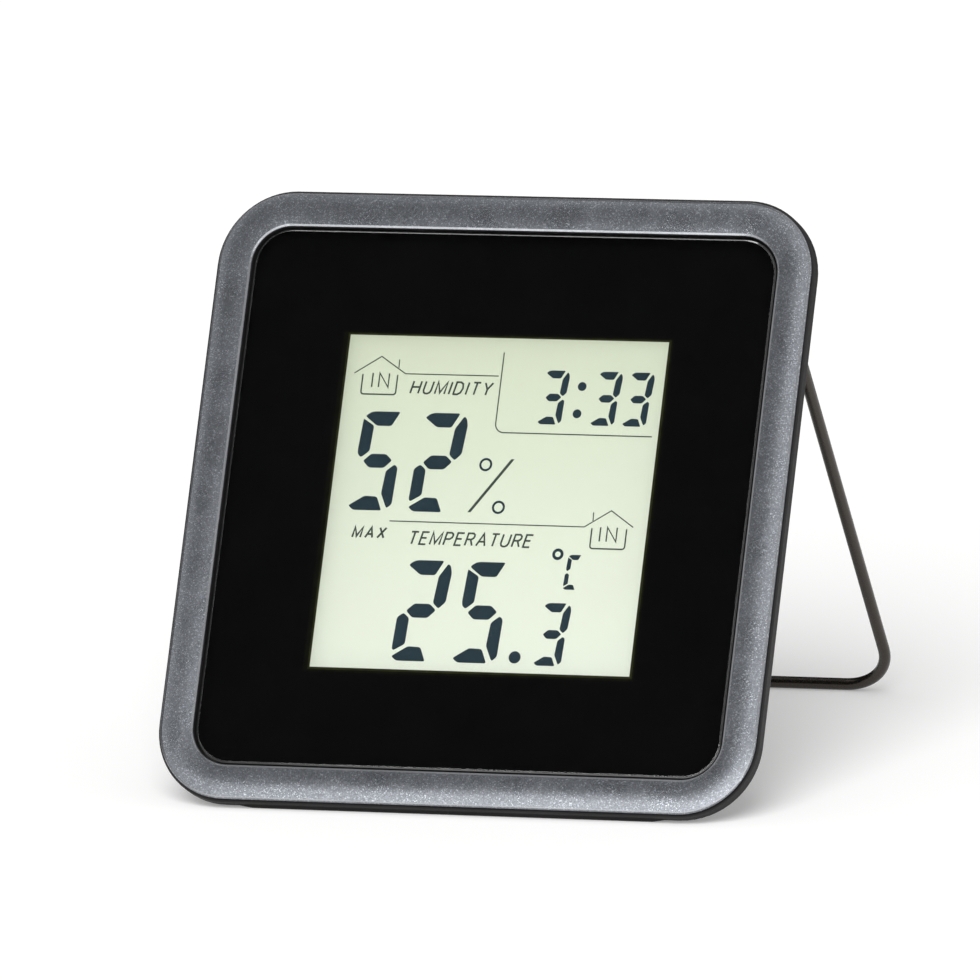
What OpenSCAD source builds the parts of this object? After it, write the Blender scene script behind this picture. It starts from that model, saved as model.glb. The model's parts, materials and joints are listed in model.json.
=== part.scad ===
// Free-standing digital thermo-hygrometer with a clock, leaning back on a folding wire stand.
// Every piece is drawn on the panel: x to the right, y up the panel, z out of its front face.
// A depth is a distance behind the frontmost line of the silver trim. The panel is then leaned
// back until the foot rib of its rim and the bar of the stand both touch the table.

/* [Front face] */
// Side of the square silver trim
face_w = 109.8; // [108:0.1:130]
// Corner radius of the trim
face_r = 13.1; // [12:0.1:20]
// Width of the silver band
trim_band = 6.1; // [4.5:0.1:8]
// Drop of the crowned band from its middle to its edges
trim_crown = 0.3; // [0.1:0.05:0.5]
// Rounding of the trim's edges
trim_edge_r = 0.3; // [0.2:0.05:0.5]
// Height of the trim's straight edge below its rounding
trim_wall = 0.1; // [0.05:0.05:0.6]
// Diameter of the stakes that hold the trim
stake_d = 1.8; // [1:0.1:2.2]
// Distance of each stake from the middle of its side
stake_x = 24; // [10:0.5:32]
// Radial clearance round a stake
stake_gap = 0.1; // [0.05:0.05:0.3]
// Depth of the rim's rear edge
rim_depth = 3.7; // [3.2:0.1:5]
// How far the rim stands out past the trim
rim_proud = 0.45; // [0.05:0.05:0.6]
// Rounding of the rim's rear edge
rim_edge_r = 0.8; // [0.7:0.1:1.1]
// Width of the flat foot rib under the rim
foot_w = 1.2; // [0.8:0.1:1.3]
// How far the foot rib stands out of the rim
foot_h = 0.25; // [0.1:0.05:0.5]
// Distance from the foot rib's ends to the round corners
foot_in = 1; // [1:0.1:10]
// Length of the ramp at each end of the foot rib
foot_ramp = 4; // [1:0.5:8]
// Width of the shadow groove between trim and rim
groove_w = 0.5; // [0.3:0.1:1.1]
// How far the shadow groove goes in
groove_in = 0.7; // [0.3:0.1:1.2]

/* [Display window] */
// Gap round the lens
lens_gap = 0.45; // [0.2:0.05:0.8]
// Depth of the lens face
lens_recess = 0.9; // [0.4:0.05:1.2]
// Thickness of the lens
lens_t = 2.4; // [1:0.1:3]
// Rounding of the lens's front edge
lens_edge_r = 0.4; // [0.1:0.05:0.8]
// Thickness of the black mask film
mask_t = 0.15; // [0.1:0.05:0.3]
// Thickness of the adhesive frame
tape_t = 0.3; // [0.1:0.05:0.6]
// Width of the adhesive frame
tape_band = 9; // [4:0.5:14]
// Width of the clear window
window_w = 58.8; // [48:0.2:64]
// Height of the clear window
window_h = 60.2; // [48:0.2:64]
// Thickness of the case floor behind the lens
floor_t = 1.5; // [1:0.1:2.5]
// Extra opening of the case floor round the window
floor_reveal = 0.9; // [0.4:0.1:2]
// Thickness of the case wall round the lens
tray_wall = 1.5; // [1:0.1:2.2]

/* [Liquid crystal display] */
// Overlap of the display glass behind the mask
lcd_margin = 2.8; // [2.2:0.1:4]
// Thickness of the foam gasket
gasket_t = 0.4; // [0.2:0.1:1]
// Thickness of the front polarizer
polarizer_t = 0.2; // [0.1:0.05:0.4]
// Thickness of each pane of glass
glass_t = 1.1; // [0.5:0.1:1.5]
// Thickness of the rear reflector film
reflector_t = 0.25; // [0.1:0.05:0.5]
// Width of the contact ledge along the top of the glass
ledge_w = 3.2; // [2.6:0.1:5]
// Thickness of the rubber connector strip
zebra_t = 2; // [1.2:0.1:2.2]
// Length of the rubber connector strip
zebra_l = 52; // [30:1:56]
// Wall of the display holder
holder_wall = 1.5; // [1:0.1:2.5]
// Back plate of the display holder
holder_back = 1; // [0.8:0.1:2]
// Play of the glass in its holder
lcd_play = 0.25; // [0.1:0.05:0.5]
// Distance of the holder's ears above its lower edge
ear_up = 12; // [8:0.5:20]
// Width of a hook that holds the board
hook_w = 6; // [4:0.5:8]
// Thickness of a hook that holds the board
hook_t = 1.2; // [0.8:0.1:1.6]

/* [Circuit board] */
// Width of the board beside the battery pocket, where the leads come up
board_side = 4.55; // [3.6:0.05:6]
// Height of the board
board_h = 50; // [46:0.5:53]
// Thickness of the board
board_t = 1.2; // [0.8:0.1:1.6]
// Distance of the board below the cover's top
board_drop = 5; // [4.5:0.1:6]
// Distance of the board screws in from the board's sides
board_screw_in = 9; // [5:0.5:14]
// Distance of each board hook from the middle
hook_x = 20; // [12:0.5:24]
// Width of a tact switch
switch_w = 6; // [5:0.1:7]
// Height of a tact switch body
switch_h = 3.5; // [3:0.1:4.5]
// Diameter of a switch plunger
plunger_d = 3.4; // [2.4:0.1:4]
// How far a plunger stands out of its switch
plunger_out = 1.1; // [0.8:0.1:2]
// How far a plunger reaches into its switch
plunger_in = 1.2; // [0.8:0.1:1.6]

/* [Parts on the board] */
// Distance of the humidity sensor from the board's left side
sensor_in = 7; // [5:0.5:10]
// Distance of the humidity sensor below the board's top
sensor_drop = 12; // [9:0.5:14]
// Width of the humidity sensor
sensor_w = 6; // [4:0.5:7]
// Height of the humidity sensor
sensor_h = 5; // [4:0.5:7]
// Thickness of the humidity sensor
sensor_t = 2; // [1.4:0.1:3]
// Radius of the humidity sensor's port
port_r = 1.2; // [0.6:0.1:1.6]
// Distance from the humidity sensor to the thermistor
thermistor_gap = 8; // [6:0.5:10]
// Radius of the thermistor's bead
bead_r = 1.3; // [0.8:0.1:1.5]
// Radius of the thermistor's legs
bead_leg_r = 0.25; // [0.2:0.05:0.4]
// Length of the thermistor's legs
bead_leg_l = 4; // [3:0.5:6]
// Distance of the chip from the middle of the board
chip_x = 2; // [-4:0.5:4]
// Distance of the chip below the board's top
chip_drop = 19; // [16:0.5:22]
// Radius of the chip's cover
blob_r = 6.5; // [5:0.5:8]
// Height of the chip's cover
blob_h = 1.5; // [1:0.1:2]
// Distance of the clock crystal from the middle of the board
crystal_x = 18; // [14:0.5:20]
// Distance of the clock crystal below the board's top
crystal_drop = 16; // [14:0.5:18]
// Radius of the clock crystal
can_r = 1; // [0.8:0.05:1.5]
// Length of the clock crystal
can_l = 6; // [5:0.5:8]
// Distance of the capacitors below the clock crystal
capacitor_drop = 6; // [4:0.5:8]
// Length of a capacitor
capacitor_l = 2; // [1:0.1:2.2]
// Width of a capacitor
capacitor_w = 1.2; // [0.5:0.1:1.6]
// Height of a capacitor
capacitor_h = 0.8; // [0.5:0.1:1.2]
// Spacing of the capacitors
capacitor_pitch = 3.2; // [2.6:0.1:4]

/* [Rear cover] */
// Room from the display glass to each side of the cover
side_room = 13.8; // [13.5:0.1:16]
// Room from the display glass to the top of the cover
top_room = 13.1; // [12:0.1:15]
// Room from the display glass to the bottom of the cover
bottom_room = 8.1; // [7:0.1:9]
// Wall of the cover
cover_wall = 1.8; // [1.2:0.1:2.4]
// Back plate of the cover
cover_back = 1.8; // [1.4:0.1:2.4]
// Corner radius of the cover
cover_r = 10; // [8:0.5:13]
// Rounding of the cover's back edge
cover_edge_r = 3; // [1:0.5:3.5]
// Thickness of the locating rib inside the cover
rib_t = 1.2; // [0.8:0.1:1.6]
// Height of the locating rib
rib_h = 2.2; // [1:0.1:4]
// General assembly clearance
play = 0.2; // [0.1:0.05:0.35]
// Number of vent slots
vent_count = 5; // [3:1:6]
// Width of a vent slot
vent_w = 1.6; // [1:0.1:2]
// Length of a vent slot
vent_l = 12; // [6:0.5:14]
// Spacing of the vent slots
vent_pitch = 3.4; // [3:0.1:4]
// How far the vents are set in from the humidity sensor
vent_shift = 2; // [0:0.5:4]
// Radius of the keyhole's round end
key_r = 3.5; // [3:0.1:4.5]
// Radius of the keyhole's slot
key_slot_r = 1.8; // [1.5:0.1:2]
// Length of the keyhole's slot
key_slot_l = 6; // [4.5:0.1:7]
// Distance of the keyhole below the cover's top
key_drop = 16; // [12:0.5:18]

/* [Buttons] */
// Radius of a button
button_r = 3.5; // [2.8:0.1:4]
// Radial clearance round a button
button_gap = 0.25; // [0.15:0.05:0.4]
// How far a button stands out of the back
button_out = 0.9; // [0.7:0.1:1.5]
// Travel of a button
button_travel = 0.5; // [0.2:0.05:0.6]
// Spacing of the buttons
button_pitch = 14; // [11:0.5:15]
// Distance of the buttons below the board's top
button_drop = 35; // [33:0.5:38]
// Thickness of a button's retaining flange
flange_t = 1; // [0.6:0.1:1.5]
// Width of a button's retaining flange
flange_w = 1; // [0.6:0.1:1.3]
// Rounding of a button's head
head_round = 0.6; // [0.2:0.1:0.8]
// Gap from a button's stem to its plunger
plunger_gap = 0.1; // [0.05:0.05:0.2]
// How far a button's stem is wider than its plunger
stem_over = 0.3; // [0.1:0.1:0.8]

/* [Batteries] */
// Diameter of a cell
cell_d = 10.5; // [10:0.1:11]
// Length of a cell with its button
cell_l = 44.5; // [43:0.1:46]
// Length of a cell's button
nub_l = 1; // [0.8:0.1:1.4]
// Radius of a cell's button
nub_r = 1.9; // [1.6:0.1:2.2]
// Play round a cell
cell_gap = 0.4; // [0.2:0.05:0.6]
// Room for the contact at each end of the cells
contact_room = 3; // [2.4:0.1:4]
// Thickness of the contact metal
contact_t = 0.4; // [0.2:0.05:0.6]
// Width of a contact's plate
contact_h = 7; // [6:0.5:9]
// Radius of the bump that meets a cell's button
bump_r = 1.5; // [1:0.1:1.8]
// Width of the sprung tongue that meets a cell's flat end
tongue_w = 5; // [3:0.5:6]
// Height of the tongue's foot on its plate
tongue_foot = 1; // [0.6:0.1:1.4]
// Width of the strip that links two contacts
link_w = 2; // [1.4:0.1:3]
// Width of a contact's tail
tail_w = 3; // [2:0.1:4]
// Distance of the tails from the pocket's floor
tail_up = 1; // [0.6:0.1:1.4]
// How far a tail stands out of the pocket
tail_out = 2.4; // [2:0.1:4]
// Radius of a battery lead
lead_r = 0.6; // [0.4:0.05:0.7]
// Distance of the leads' ends above the board's lower edge
lead_up = 3; // [2:0.5:6]
// Wall of the battery pocket
pocket_wall = 1.2; // [0.8:0.1:1.8]
// Thickness of the battery door
door_t = 1.5; // [1.2:0.1:2]
// Overlap of the door round the battery pocket
door_lip = 2; // [1.5:0.1:3]
// Flat back left between the door and the cover's rounded edge
door_edge = 0.8; // [0.4:0.1:2]
// Width of each door tab
tab_w = 6; // [4:0.5:9]
// Thickness of each door tab
tab_t = 1.1; // [0.8:0.1:1.4]
// Reach of each door tab under the cover's back
tab_reach = 1.2; // [0.8:0.1:1.4]
// Distance of each tab in from the door's side
tab_in = 9; // [6:0.5:14]
// Length of the grip grooves on the door
grip_l = 12; // [8:0.5:20]
// Width of a grip groove
grip_w = 0.7; // [0.4:0.1:1]
// Depth of a grip groove
grip_t = 0.5; // [0.3:0.05:0.7]
// Spacing of the grip grooves
grip_pitch = 2; // [1.5:0.1:3]
// Distance of the first grip groove below the door's top
grip_drop = 3; // [2:0.5:5]
// Thickness of the ledge under the door
ledge_t = 1.4; // [1:0.1:2]
// Radius of the finger dish above the door
dish_r = 6; // [4:0.5:8]
// Depth of the finger dish
dish_t = 0.9; // [0.5:0.1:1.2]

/* [Screws] */
// Radius of a case screw
screw_r = 1.3; // [1:0.05:1.6]
// Radius of a case screw's head
screw_head_r = 2.4; // [2:0.1:2.8]
// Height of a case screw's head
screw_head_h = 1.6; // [1.2:0.1:2.2]
// Length of a case screw under its head
screw_l = 8; // [6:0.5:10]
// Wall of a screw boss round its screw
boss_wall = 1.7; // [1.2:0.1:2]
// Length of the cover's posts over the bosses
post_l = 3.8; // [3:0.1:6]
// Floor that a case screw's head sits on
post_floor = 1.6; // [1.2:0.1:2]
// Gap from an upper boss to the hinge boss beside it
boss_gap = 1; // [0.6:0.1:2]
// Gap from the display holder to a lower boss
boss_side = 1.2; // [0.8:0.1:2]
// How far an upper post is sunk into the wall above it
post_sink = 0.6; // [0.3:0.1:0.8]
// Radius of a small inner screw
pin_screw_r = 0.9; // [0.7:0.05:1]
// Radius of a small inner screw's head
pin_head_r = 1.8; // [1.4:0.1:2]
// Height of a small inner screw's head
pin_head_h = 1; // [0.6:0.1:1.4]
// Wall of a small inner boss round its screw
pin_wall = 1.2; // [0.8:0.1:1.4]

/* [Wire stand] */
// Radius of the wire
wire_r = 1.05; // [0.8:0.05:1.3]
// Length of a leg from the hinge to the middle of the bar
leg_l = 85.8; // [81.5:0.1:90]
// Gap from the cover's side to the middle of a leg
leg_gap = 3.9; // [3.5:0.1:6]
// Angle of the opened stand to the panel
stand_angle = 59.5; // [45:0.5:65]
// Bend radius of the wire at the bar
bar_bend_r = 9; // [5:0.5:12]
// Bend radius of the wire at the hinge
eye_bend_r = 2.4; // [2:0.1:2.5]
// Distance of the hinge below the cover's top
hinge_drop = 12; // [8:0.5:13]
// Distance of the hinge behind the case floor
hinge_set = 3.2; // [3.1:0.1:5]
// Length of wire inside the cover
pin_l = 5; // [3:0.5:6]
// Wall of a hinge boss round the wire
hinge_wall = 1.7; // [1.2:0.1:2]
// Wall of a hinge boss past the end of the wire
hinge_end = 1; // [0.6:0.1:1.4]
// Radial clearance of the wire in its hinge
hinge_gap = 0.08; // [0.03:0.01:0.1]
// Gap between an opened leg and its stop
stop_gap = 0.2; // [0.1:0.05:0.4]
// Thickness of the stop
stop_t = 1.8; // [1.5:0.1:2.6]
// Distance of the stop from the hinge along the leg
stop_at = 4.5; // [4:0.5:9]
// Length of the stop along the leg
stop_l = 3; // [2.5:0.5:6]

/* [Hidden] */
$fn = 96;
// A small overlap that makes a cut run clear of the faces it opens
cut = 0.5;

// Depths of the stack behind the front
mask_d = lens_recess + lens_t;
tape_d = mask_d + mask_t;
floor_d = tape_d + tape_t;
case_back_d = floor_d + floor_t;
polarizer_d = case_back_d + gasket_t;
glass_d = polarizer_d + polarizer_t;
rear_glass_d = glass_d + glass_t;
reflector_d = rear_glass_d + glass_t;
lcd_back_d = reflector_d + reflector_t;
board_d = lcd_back_d + holder_back;
board_back_d = board_d + board_t;
switch_top_d = board_back_d + switch_h;
plunger_top_d = switch_top_d + plunger_out;
plunger_foot_d = switch_top_d - plunger_in;
pocket_floor_d = board_d + 2 * play + pocket_wall;
cell_axis_d = pocket_floor_d + play + cell_d / 2;
door_d = cell_axis_d + cell_d / 2 + play;
cover_d = door_d + door_t;
cover_in_d = cover_d - cover_back;

// The crowned band: radius of its crown, and where the edge rounding meets it
crown_r = (pow(trim_band / 2, 2) + pow(trim_crown, 2)) / (2 * trim_crown);
edge_x = trim_band / 2 - trim_edge_r;
edge_d = crown_r - sqrt(pow(crown_r - trim_edge_r, 2) - pow(edge_x, 2));
edge_meet_x = edge_x * crown_r / (crown_r - trim_edge_r);
trim_t = edge_d + trim_wall;

// Outlines of the front
rim_w = face_w + 2 * rim_proud;
rim_r = face_r + rim_proud;
rim_top_d = trim_t + groove_w;
opening_w = face_w - 2 * trim_band;
opening_r = face_r - trim_band;
lens_w = opening_w - 2 * lens_gap;
lens_r = opening_r - lens_gap;
tray_w = opening_w + 2 * tray_wall;
tray_r = opening_r + tray_wall;

// Display glass and what holds it
lcd_w = window_w + 2 * lcd_margin;
lcd_h = window_h + 2 * lcd_margin;
zebra_y = lcd_h / 2 - ledge_w / 2;
holder_w = lcd_w + 2 * lcd_play + 2 * holder_wall;
holder_h = lcd_h + 2 * lcd_play + 2 * holder_wall;
pin_boss_r = pin_screw_r + pin_wall;
ear_x = holder_w / 2 + pin_boss_r - holder_wall;
ear_y = -holder_h / 2 + ear_up;

// Rear cover
cover_w = lcd_w + 2 * side_room;
cover_top = lcd_h / 2 + top_room;
cover_bottom = -lcd_h / 2 - bottom_room;
cover_h = cover_top - cover_bottom;
cover_y = (cover_top + cover_bottom) / 2;
hinge_boss_r = wire_r + hinge_wall;
hinge_boss_l = pin_l - cover_wall + hinge_end;
boss_r = screw_r + boss_wall;
post_r = screw_head_r + boss_wall;
boss_top_d = cover_in_d - post_l;
screw_seat_d = boss_top_d + post_floor;
upper_boss_x = cover_w / 2 - cover_wall - hinge_boss_l - boss_gap - boss_r;
lower_boss_x = holder_w / 2 + boss_side + boss_r;
upper_boss_y = cover_top - cover_wall - post_r + post_sink;
lower_boss_y = cover_bottom + cover_r;
BOSSES = [
    [-upper_boss_x, upper_boss_y], [upper_boss_x, upper_boss_y],
    [-lower_boss_x, lower_boss_y], [lower_boss_x, lower_boss_y]
];

// Circuit board, its switches and the buttons over them
pocket_w = cell_l + 2 * contact_room;
board_w = pocket_w + 2 * (pocket_wall + board_side);
board_top = cover_top - board_drop;
board_y = board_top - board_h / 2;
board_screw_x = board_w / 2 - board_screw_in;
board_screw_y = (holder_h / 2 + board_top) / 2;
button_y = board_top - button_drop;
BUTTON_X = [for (i = [0 : 3]) (i - 1.5) * button_pitch];
stem_r = plunger_d / 2 + stem_over;
flange_d = cover_in_d - flange_t - play;

// Places on the back of the board
SENSOR_AT = [-board_w / 2 + sensor_in, board_top - sensor_drop];
THERMISTOR_AT = [SENSOR_AT[0] + thermistor_gap, SENSOR_AT[1]];
vent_x = SENSOR_AT[0] + vent_shift;
CHIP_AT = [chip_x, board_top - chip_drop];
CRYSTAL_AT = [crystal_x, board_top - crystal_drop];
CAPACITOR_AT = [CRYSTAL_AT[0], CRYSTAL_AT[1] - capacitor_drop];

// Battery pocket and door
pocket_h = 2 * cell_d + 3 * cell_gap;
pocket_bottom = cover_bottom + cover_edge_r + door_lip + door_edge;
pocket_y = pocket_bottom + pocket_h / 2;
CELL_Y = [for (s = [-1, 1]) pocket_y + s * (cell_d + cell_gap) / 2];
door_w = pocket_w + 2 * door_lip - 2 * play;
door_h = pocket_h + 2 * door_lip - 2 * play;
door_bottom = pocket_y - door_h / 2;
tail_d = pocket_floor_d + tail_up;
tab_x = door_w / 2 - tab_in;
tab_d = cover_in_d - play - tab_t;

// Wire stand and its hinge
hinge_y = cover_top - hinge_drop;
hinge_d = case_back_d + hinge_set;
leg_x = cover_w / 2 + leg_gap;
pin_in_x = cover_w / 2 - pin_l;

// The lean that sets the rim's foot rib and the stand's bar on the table
foot_y = -rim_w / 2 + rim_edge_r;
foot_d = rim_depth - rim_edge_r;
bar_y = hinge_y - leg_l * cos(stand_angle);
bar_d = hinge_d + leg_l * sin(stand_angle);
foot_span = norm([bar_y - foot_y, bar_d - foot_d]);
foot_r = rim_edge_r + foot_h;
foot_l = face_w - 2 * face_r - 2 * foot_in;
lean = atan2(bar_y - foot_y, bar_d - foot_d) - asin((wire_r - foot_r) / foot_span);
lift = foot_r - foot_y * cos(lean) + foot_d * sin(lean);
front_reach = (-face_w / 2 + trim_edge_r) * sin(lean) + edge_d * cos(lean) - trim_edge_r;
back_reach = bar_y * sin(lean) + bar_d * cos(lean) + wire_r;
shift = -(front_reach + back_reach) / 2;

CASE_GREY = [0.16, 0.16, 0.17];
SILVER = [0.62, 0.65, 0.69];
STEEL = [0.70, 0.70, 0.72];

// Leans a piece back from the panel onto the table
module placed() {
    translate([0, shift, lift])
        rotate([90 - lean, 0, 0])
            children();
}

// Fills a flat outline between two depths
module layer(from_d, to_d) {
    translate([0, 0, -to_d])
        linear_extrude(to_d - from_d)
            children();
}

// A round rod square to the panel between two depths
module rod(r, from_d, to_d) {
    translate([0, 0, -to_d])
        cylinder(r = r, h = to_d - from_d);
}

// A rectangle with true round corners
module rounded_rect(w, h, r) {
    square([w - 2 * r, h], center = true);
    square([w, h - 2 * r], center = true);
    for (sx = [-1, 1], sy = [-1, 1])
        translate([sx * (w / 2 - r), sy * (h / 2 - r)])
            circle(r);
}

// A slot with two round ends
module slot_outline(w, l) {
    square([w, l - w], center = true);
    for (s = [-1, 1])
        translate([0, s * (l - w) / 2])
            circle(w / 2);
}

// A flat frame between an outer and an inner rounded rectangle
module frame_outline(w, h, r, inner_w, inner_h, inner_r) {
    difference() {
        rounded_rect(w, h, r);
        rounded_rect(inner_w, inner_h, inner_r);
    }
}

// Carries a profile round a rounded rectangle. The profile's x runs inward from the
// outline, and its y out of the front.
module carried_round(w, h, r) {
    for (k = [0 : 3])
        rotate([0, 0, 90 * k])
            translate([(k % 2 == 0 ? w : h) / 2, 0, 0])
                rotate([90, 0, 0])
                    linear_extrude((k % 2 == 0 ? h : w) - 2 * r, center = true)
                        mirror([1, 0])
                            children();
    for (k = [0 : 3])
        translate([(k % 3 == 0 ? 1 : -1) * (w / 2 - r), (k < 2 ? 1 : -1) * (h / 2 - r), 0])
            rotate([0, 0, 90 * k])
                rotate_extrude(angle = 90)
                    translate([r, 0])
                        mirror([1, 0])
                            children();
}

// A plate whose edge is rounded on the front face
module front_rounded_plate(w, r, from_d, to_d, edge_r) {
    layer(from_d + edge_r, to_d)
        rounded_rect(w, w, r);
    layer(from_d, to_d)
        rounded_rect(w - 2 * edge_r, w - 2 * edge_r, r - edge_r);
    carried_round(w, w, r)
        translate([edge_r, -from_d - edge_r])
            circle(edge_r);
}

// A box from one corner, with its depth range
module block(x0, x1, y0, y1, from_d, to_d) {
    translate([x0, y0, -to_d])
        cube([x1 - x0, y1 - y0, to_d - from_d]);
}

// Section of the silver band: a crown with rounded edges
module trim_profile() {
    intersection() {
        translate([trim_band / 2, -crown_r])
            circle(crown_r);
        translate([trim_band / 2 - edge_meet_x, -trim_t])
            square([2 * edge_meet_x, trim_t]);
    }
    intersection() {
        for (s = [-1, 1])
            translate([trim_band / 2 + s * edge_x, -edge_d])
                circle(trim_edge_r);
        translate([0, -trim_t])
            square([trim_band, trim_t]);
    }
    translate([0, -trim_t])
        square([trim_band, trim_wall]);
}

// Places for the stakes, two on each side of the trim
module at_stakes() {
    for (k = [0 : 3], s = [-1, 1])
        rotate([0, 0, 90 * k])
            translate([face_w / 2 - trim_band / 2, s * stake_x, 0])
                children();
}

module trim_frame() {
    color(SILVER) {
        carried_round(face_w, face_w, face_r)
            trim_profile();
        at_stakes()
            rod(stake_d / 2, trim_t / 2, rim_depth - play);
    }
}

// Section of the case from the rim to the lens opening
module case_profile() {
    band_in = rim_proud + trim_band;
    translate([rim_proud + groove_in, -rim_depth])
        square([trim_band - groove_in, rim_depth - trim_t]);
    translate([rim_edge_r, -rim_depth])
        square([band_in - rim_edge_r, rim_depth - rim_top_d]);
    translate([0, -rim_depth + rim_edge_r])
        square([band_in, rim_depth - rim_edge_r - rim_top_d]);
    translate([rim_edge_r, -rim_depth + rim_edge_r])
        circle(rim_edge_r);
    translate([band_in - tray_wall, -case_back_d])
        square([tray_wall, case_back_d - trim_t]);
}

// Places for the two board screws and the two holder screws
module at_board_screws() {
    for (s = [-1, 1])
        translate([s * board_screw_x, board_screw_y, 0])
            children();
}

module at_ear_screws() {
    for (s = [-1, 1])
        translate([s * ear_x, ear_y, 0])
            children();
}

// Locating rib that the rear cover drops over, cut away round the hinge bosses
module locating_rib() {
    rib_in = cover_wall + play;
    difference() {
        translate([0, cover_y, 0])
            layer(case_back_d - cut, case_back_d + rib_h)
                frame_outline(
                    cover_w - 2 * rib_in, cover_h - 2 * rib_in, cover_r - rib_in,
                    cover_w - 2 * rib_in - 2 * rib_t, cover_h - 2 * rib_in - 2 * rib_t,
                    cover_r - rib_in - rib_t
                );
        for (s = [-1, 1])
            translate([s * cover_w / 2, hinge_y, -case_back_d])
                cube([4 * pin_l, 2 * hinge_boss_r + 4 * play, 4 * rib_h], center = true);
        for (p = BOSSES)
            translate([p[0], p[1], 0])
                rod(post_r + play, case_back_d - 2 * cut, case_back_d + rib_h + cut);
    }
}

// Narrow flat under the rim's rear edge, level with the table, with ramped ends
module foot_rib() {
    translate([0, foot_y, -foot_d])
        rotate([lean, 0, 0])
            translate([0, 0, -foot_w / 2])
                linear_extrude(foot_w)
                    polygon([
                        [-foot_l / 2, 0], [foot_l / 2, 0],
                        [foot_l / 2, -rim_edge_r / 2], [foot_l / 2 - foot_ramp, -foot_r],
                        [-foot_l / 2 + foot_ramp, -foot_r], [-foot_l / 2, -rim_edge_r / 2]
                    ]);
}

module front_case() {
    color(CASE_GREY)
        difference() {
            union() {
                carried_round(rim_w, rim_w, rim_r)
                    case_profile();
                foot_rib();
                layer(floor_d, case_back_d)
                    rounded_rect(tray_w, tray_w, tray_r);
                locating_rib();
                for (p = BOSSES)
                    translate([p[0], p[1], 0])
                        rod(boss_r, case_back_d - cut, boss_top_d);
                at_board_screws()
                    rod(pin_boss_r, case_back_d - cut, board_d);
                at_ear_screws()
                    rod(pin_boss_r, case_back_d - cut, lcd_back_d);
            }
            layer(floor_d - cut, case_back_d + cut)
                square([window_w + 2 * floor_reveal, window_h + 2 * floor_reveal], center = true);
            at_stakes()
                rod(stake_d / 2 + stake_gap, trim_t - cut, rim_depth + cut);
            for (p = BOSSES)
                translate([p[0], p[1], 0])
                    rod(screw_r + hinge_gap, screw_seat_d - screw_l - cut, boss_top_d + cut);
            at_board_screws()
                rod(pin_screw_r + hinge_gap, case_back_d, board_d + cut);
            at_ear_screws()
                rod(pin_screw_r + hinge_gap, case_back_d, lcd_back_d + cut);
        }
}

module display_lens() {
    color([0.75, 0.80, 0.82, 0.4])
        front_rounded_plate(lens_w, lens_r, lens_recess, mask_d, lens_edge_r);
}

module lens_mask() {
    color([0.03, 0.03, 0.03])
        layer(mask_d, tape_d)
            difference() {
                rounded_rect(lens_w, lens_w, lens_r);
                square([window_w, window_h], center = true);
            }
}

module lens_tape() {
    inner_w = lens_w - 2 * tape_band;
    color([0.20, 0.20, 0.22])
        layer(tape_d, floor_d)
            difference() {
                rounded_rect(lens_w, lens_w, lens_r);
                square([inner_w, inner_w], center = true);
            }
}

module lcd_gasket() {
    color([0.10, 0.10, 0.10])
        layer(case_back_d, polarizer_d)
            difference() {
                square([lcd_w, lcd_h], center = true);
                square([window_w + 2 * floor_reveal, window_h + 2 * floor_reveal], center = true);
            }
}

module front_polarizer() {
    color([0.80, 0.85, 0.75, 0.6])
        layer(polarizer_d, glass_d)
            square([lcd_w, lcd_h], center = true);
}

module lcd_front_glass() {
    color([0.78, 0.84, 0.76, 0.6])
        layer(glass_d, rear_glass_d)
            square([lcd_w, lcd_h], center = true);
}

// Outline of the pane and film that leave the contact ledge free
module short_pane() {
    translate([0, -ledge_w / 2])
        square([lcd_w, lcd_h - ledge_w], center = true);
}

module lcd_rear_glass() {
    color([0.78, 0.84, 0.76, 0.6])
        layer(rear_glass_d, reflector_d)
            short_pane();
}

module reflector_film() {
    color([0.84, 0.88, 0.78])
        layer(reflector_d, lcd_back_d)
            short_pane();
}

// Hook on the holder that traps the lower edge of the board
module board_hook() {
    edge_y = board_top - board_h - play;
    block(-hook_w / 2, hook_w / 2, edge_y - hook_t, edge_y, lcd_back_d, board_back_d + hook_t);
    block(-hook_w / 2, hook_w / 2, edge_y - hook_t, edge_y + hook_t,
          board_back_d + play / 2, board_back_d + hook_t);
}

module lcd_holder() {
    color([0.86, 0.86, 0.83])
        difference() {
            union() {
                layer(case_back_d, board_d)
                    square([holder_w, holder_h], center = true);
                at_ear_screws()
                    rod(pin_boss_r, lcd_back_d, board_d);
                for (s = [-1, 1])
                    translate([s * hook_x, 0, 0])
                        board_hook();
            }
            layer(case_back_d - cut, lcd_back_d)
                square([lcd_w + 2 * lcd_play, lcd_h + 2 * lcd_play], center = true);
            layer(lcd_back_d - cut, board_d + cut)
                translate([0, zebra_y])
                    square([zebra_l + 2 * play, zebra_t + 2 * play], center = true);
            at_ear_screws()
                rod(pin_screw_r + play, lcd_back_d - cut, board_d + cut);
            at_ear_screws()
                rod(pin_boss_r + play, case_back_d - cut, lcd_back_d);
        }
}

module zebra_strip() {
    color([0.25, 0.25, 0.28])
        layer(rear_glass_d, board_d)
            translate([0, zebra_y])
                square([zebra_l, zebra_t], center = true);
}

module main_board() {
    color([0.10, 0.35, 0.20])
        difference() {
            layer(board_d, board_back_d)
                translate([0, board_y])
                    square([board_w, board_h], center = true);
            at_board_screws()
                rod(pin_screw_r + play, board_d - cut, board_back_d + cut);
        }
}

module chip_blob() {
    dome_r = (pow(blob_r, 2) + pow(blob_h, 2)) / (2 * blob_h);
    color([0.06, 0.06, 0.06])
        intersection() {
            translate([CHIP_AT[0], CHIP_AT[1], -board_back_d - blob_h + dome_r])
                sphere(dome_r);
            translate([CHIP_AT[0], CHIP_AT[1], 0])
                rod(blob_r + cut, board_back_d, board_back_d + blob_h + cut);
        }
}

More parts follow.
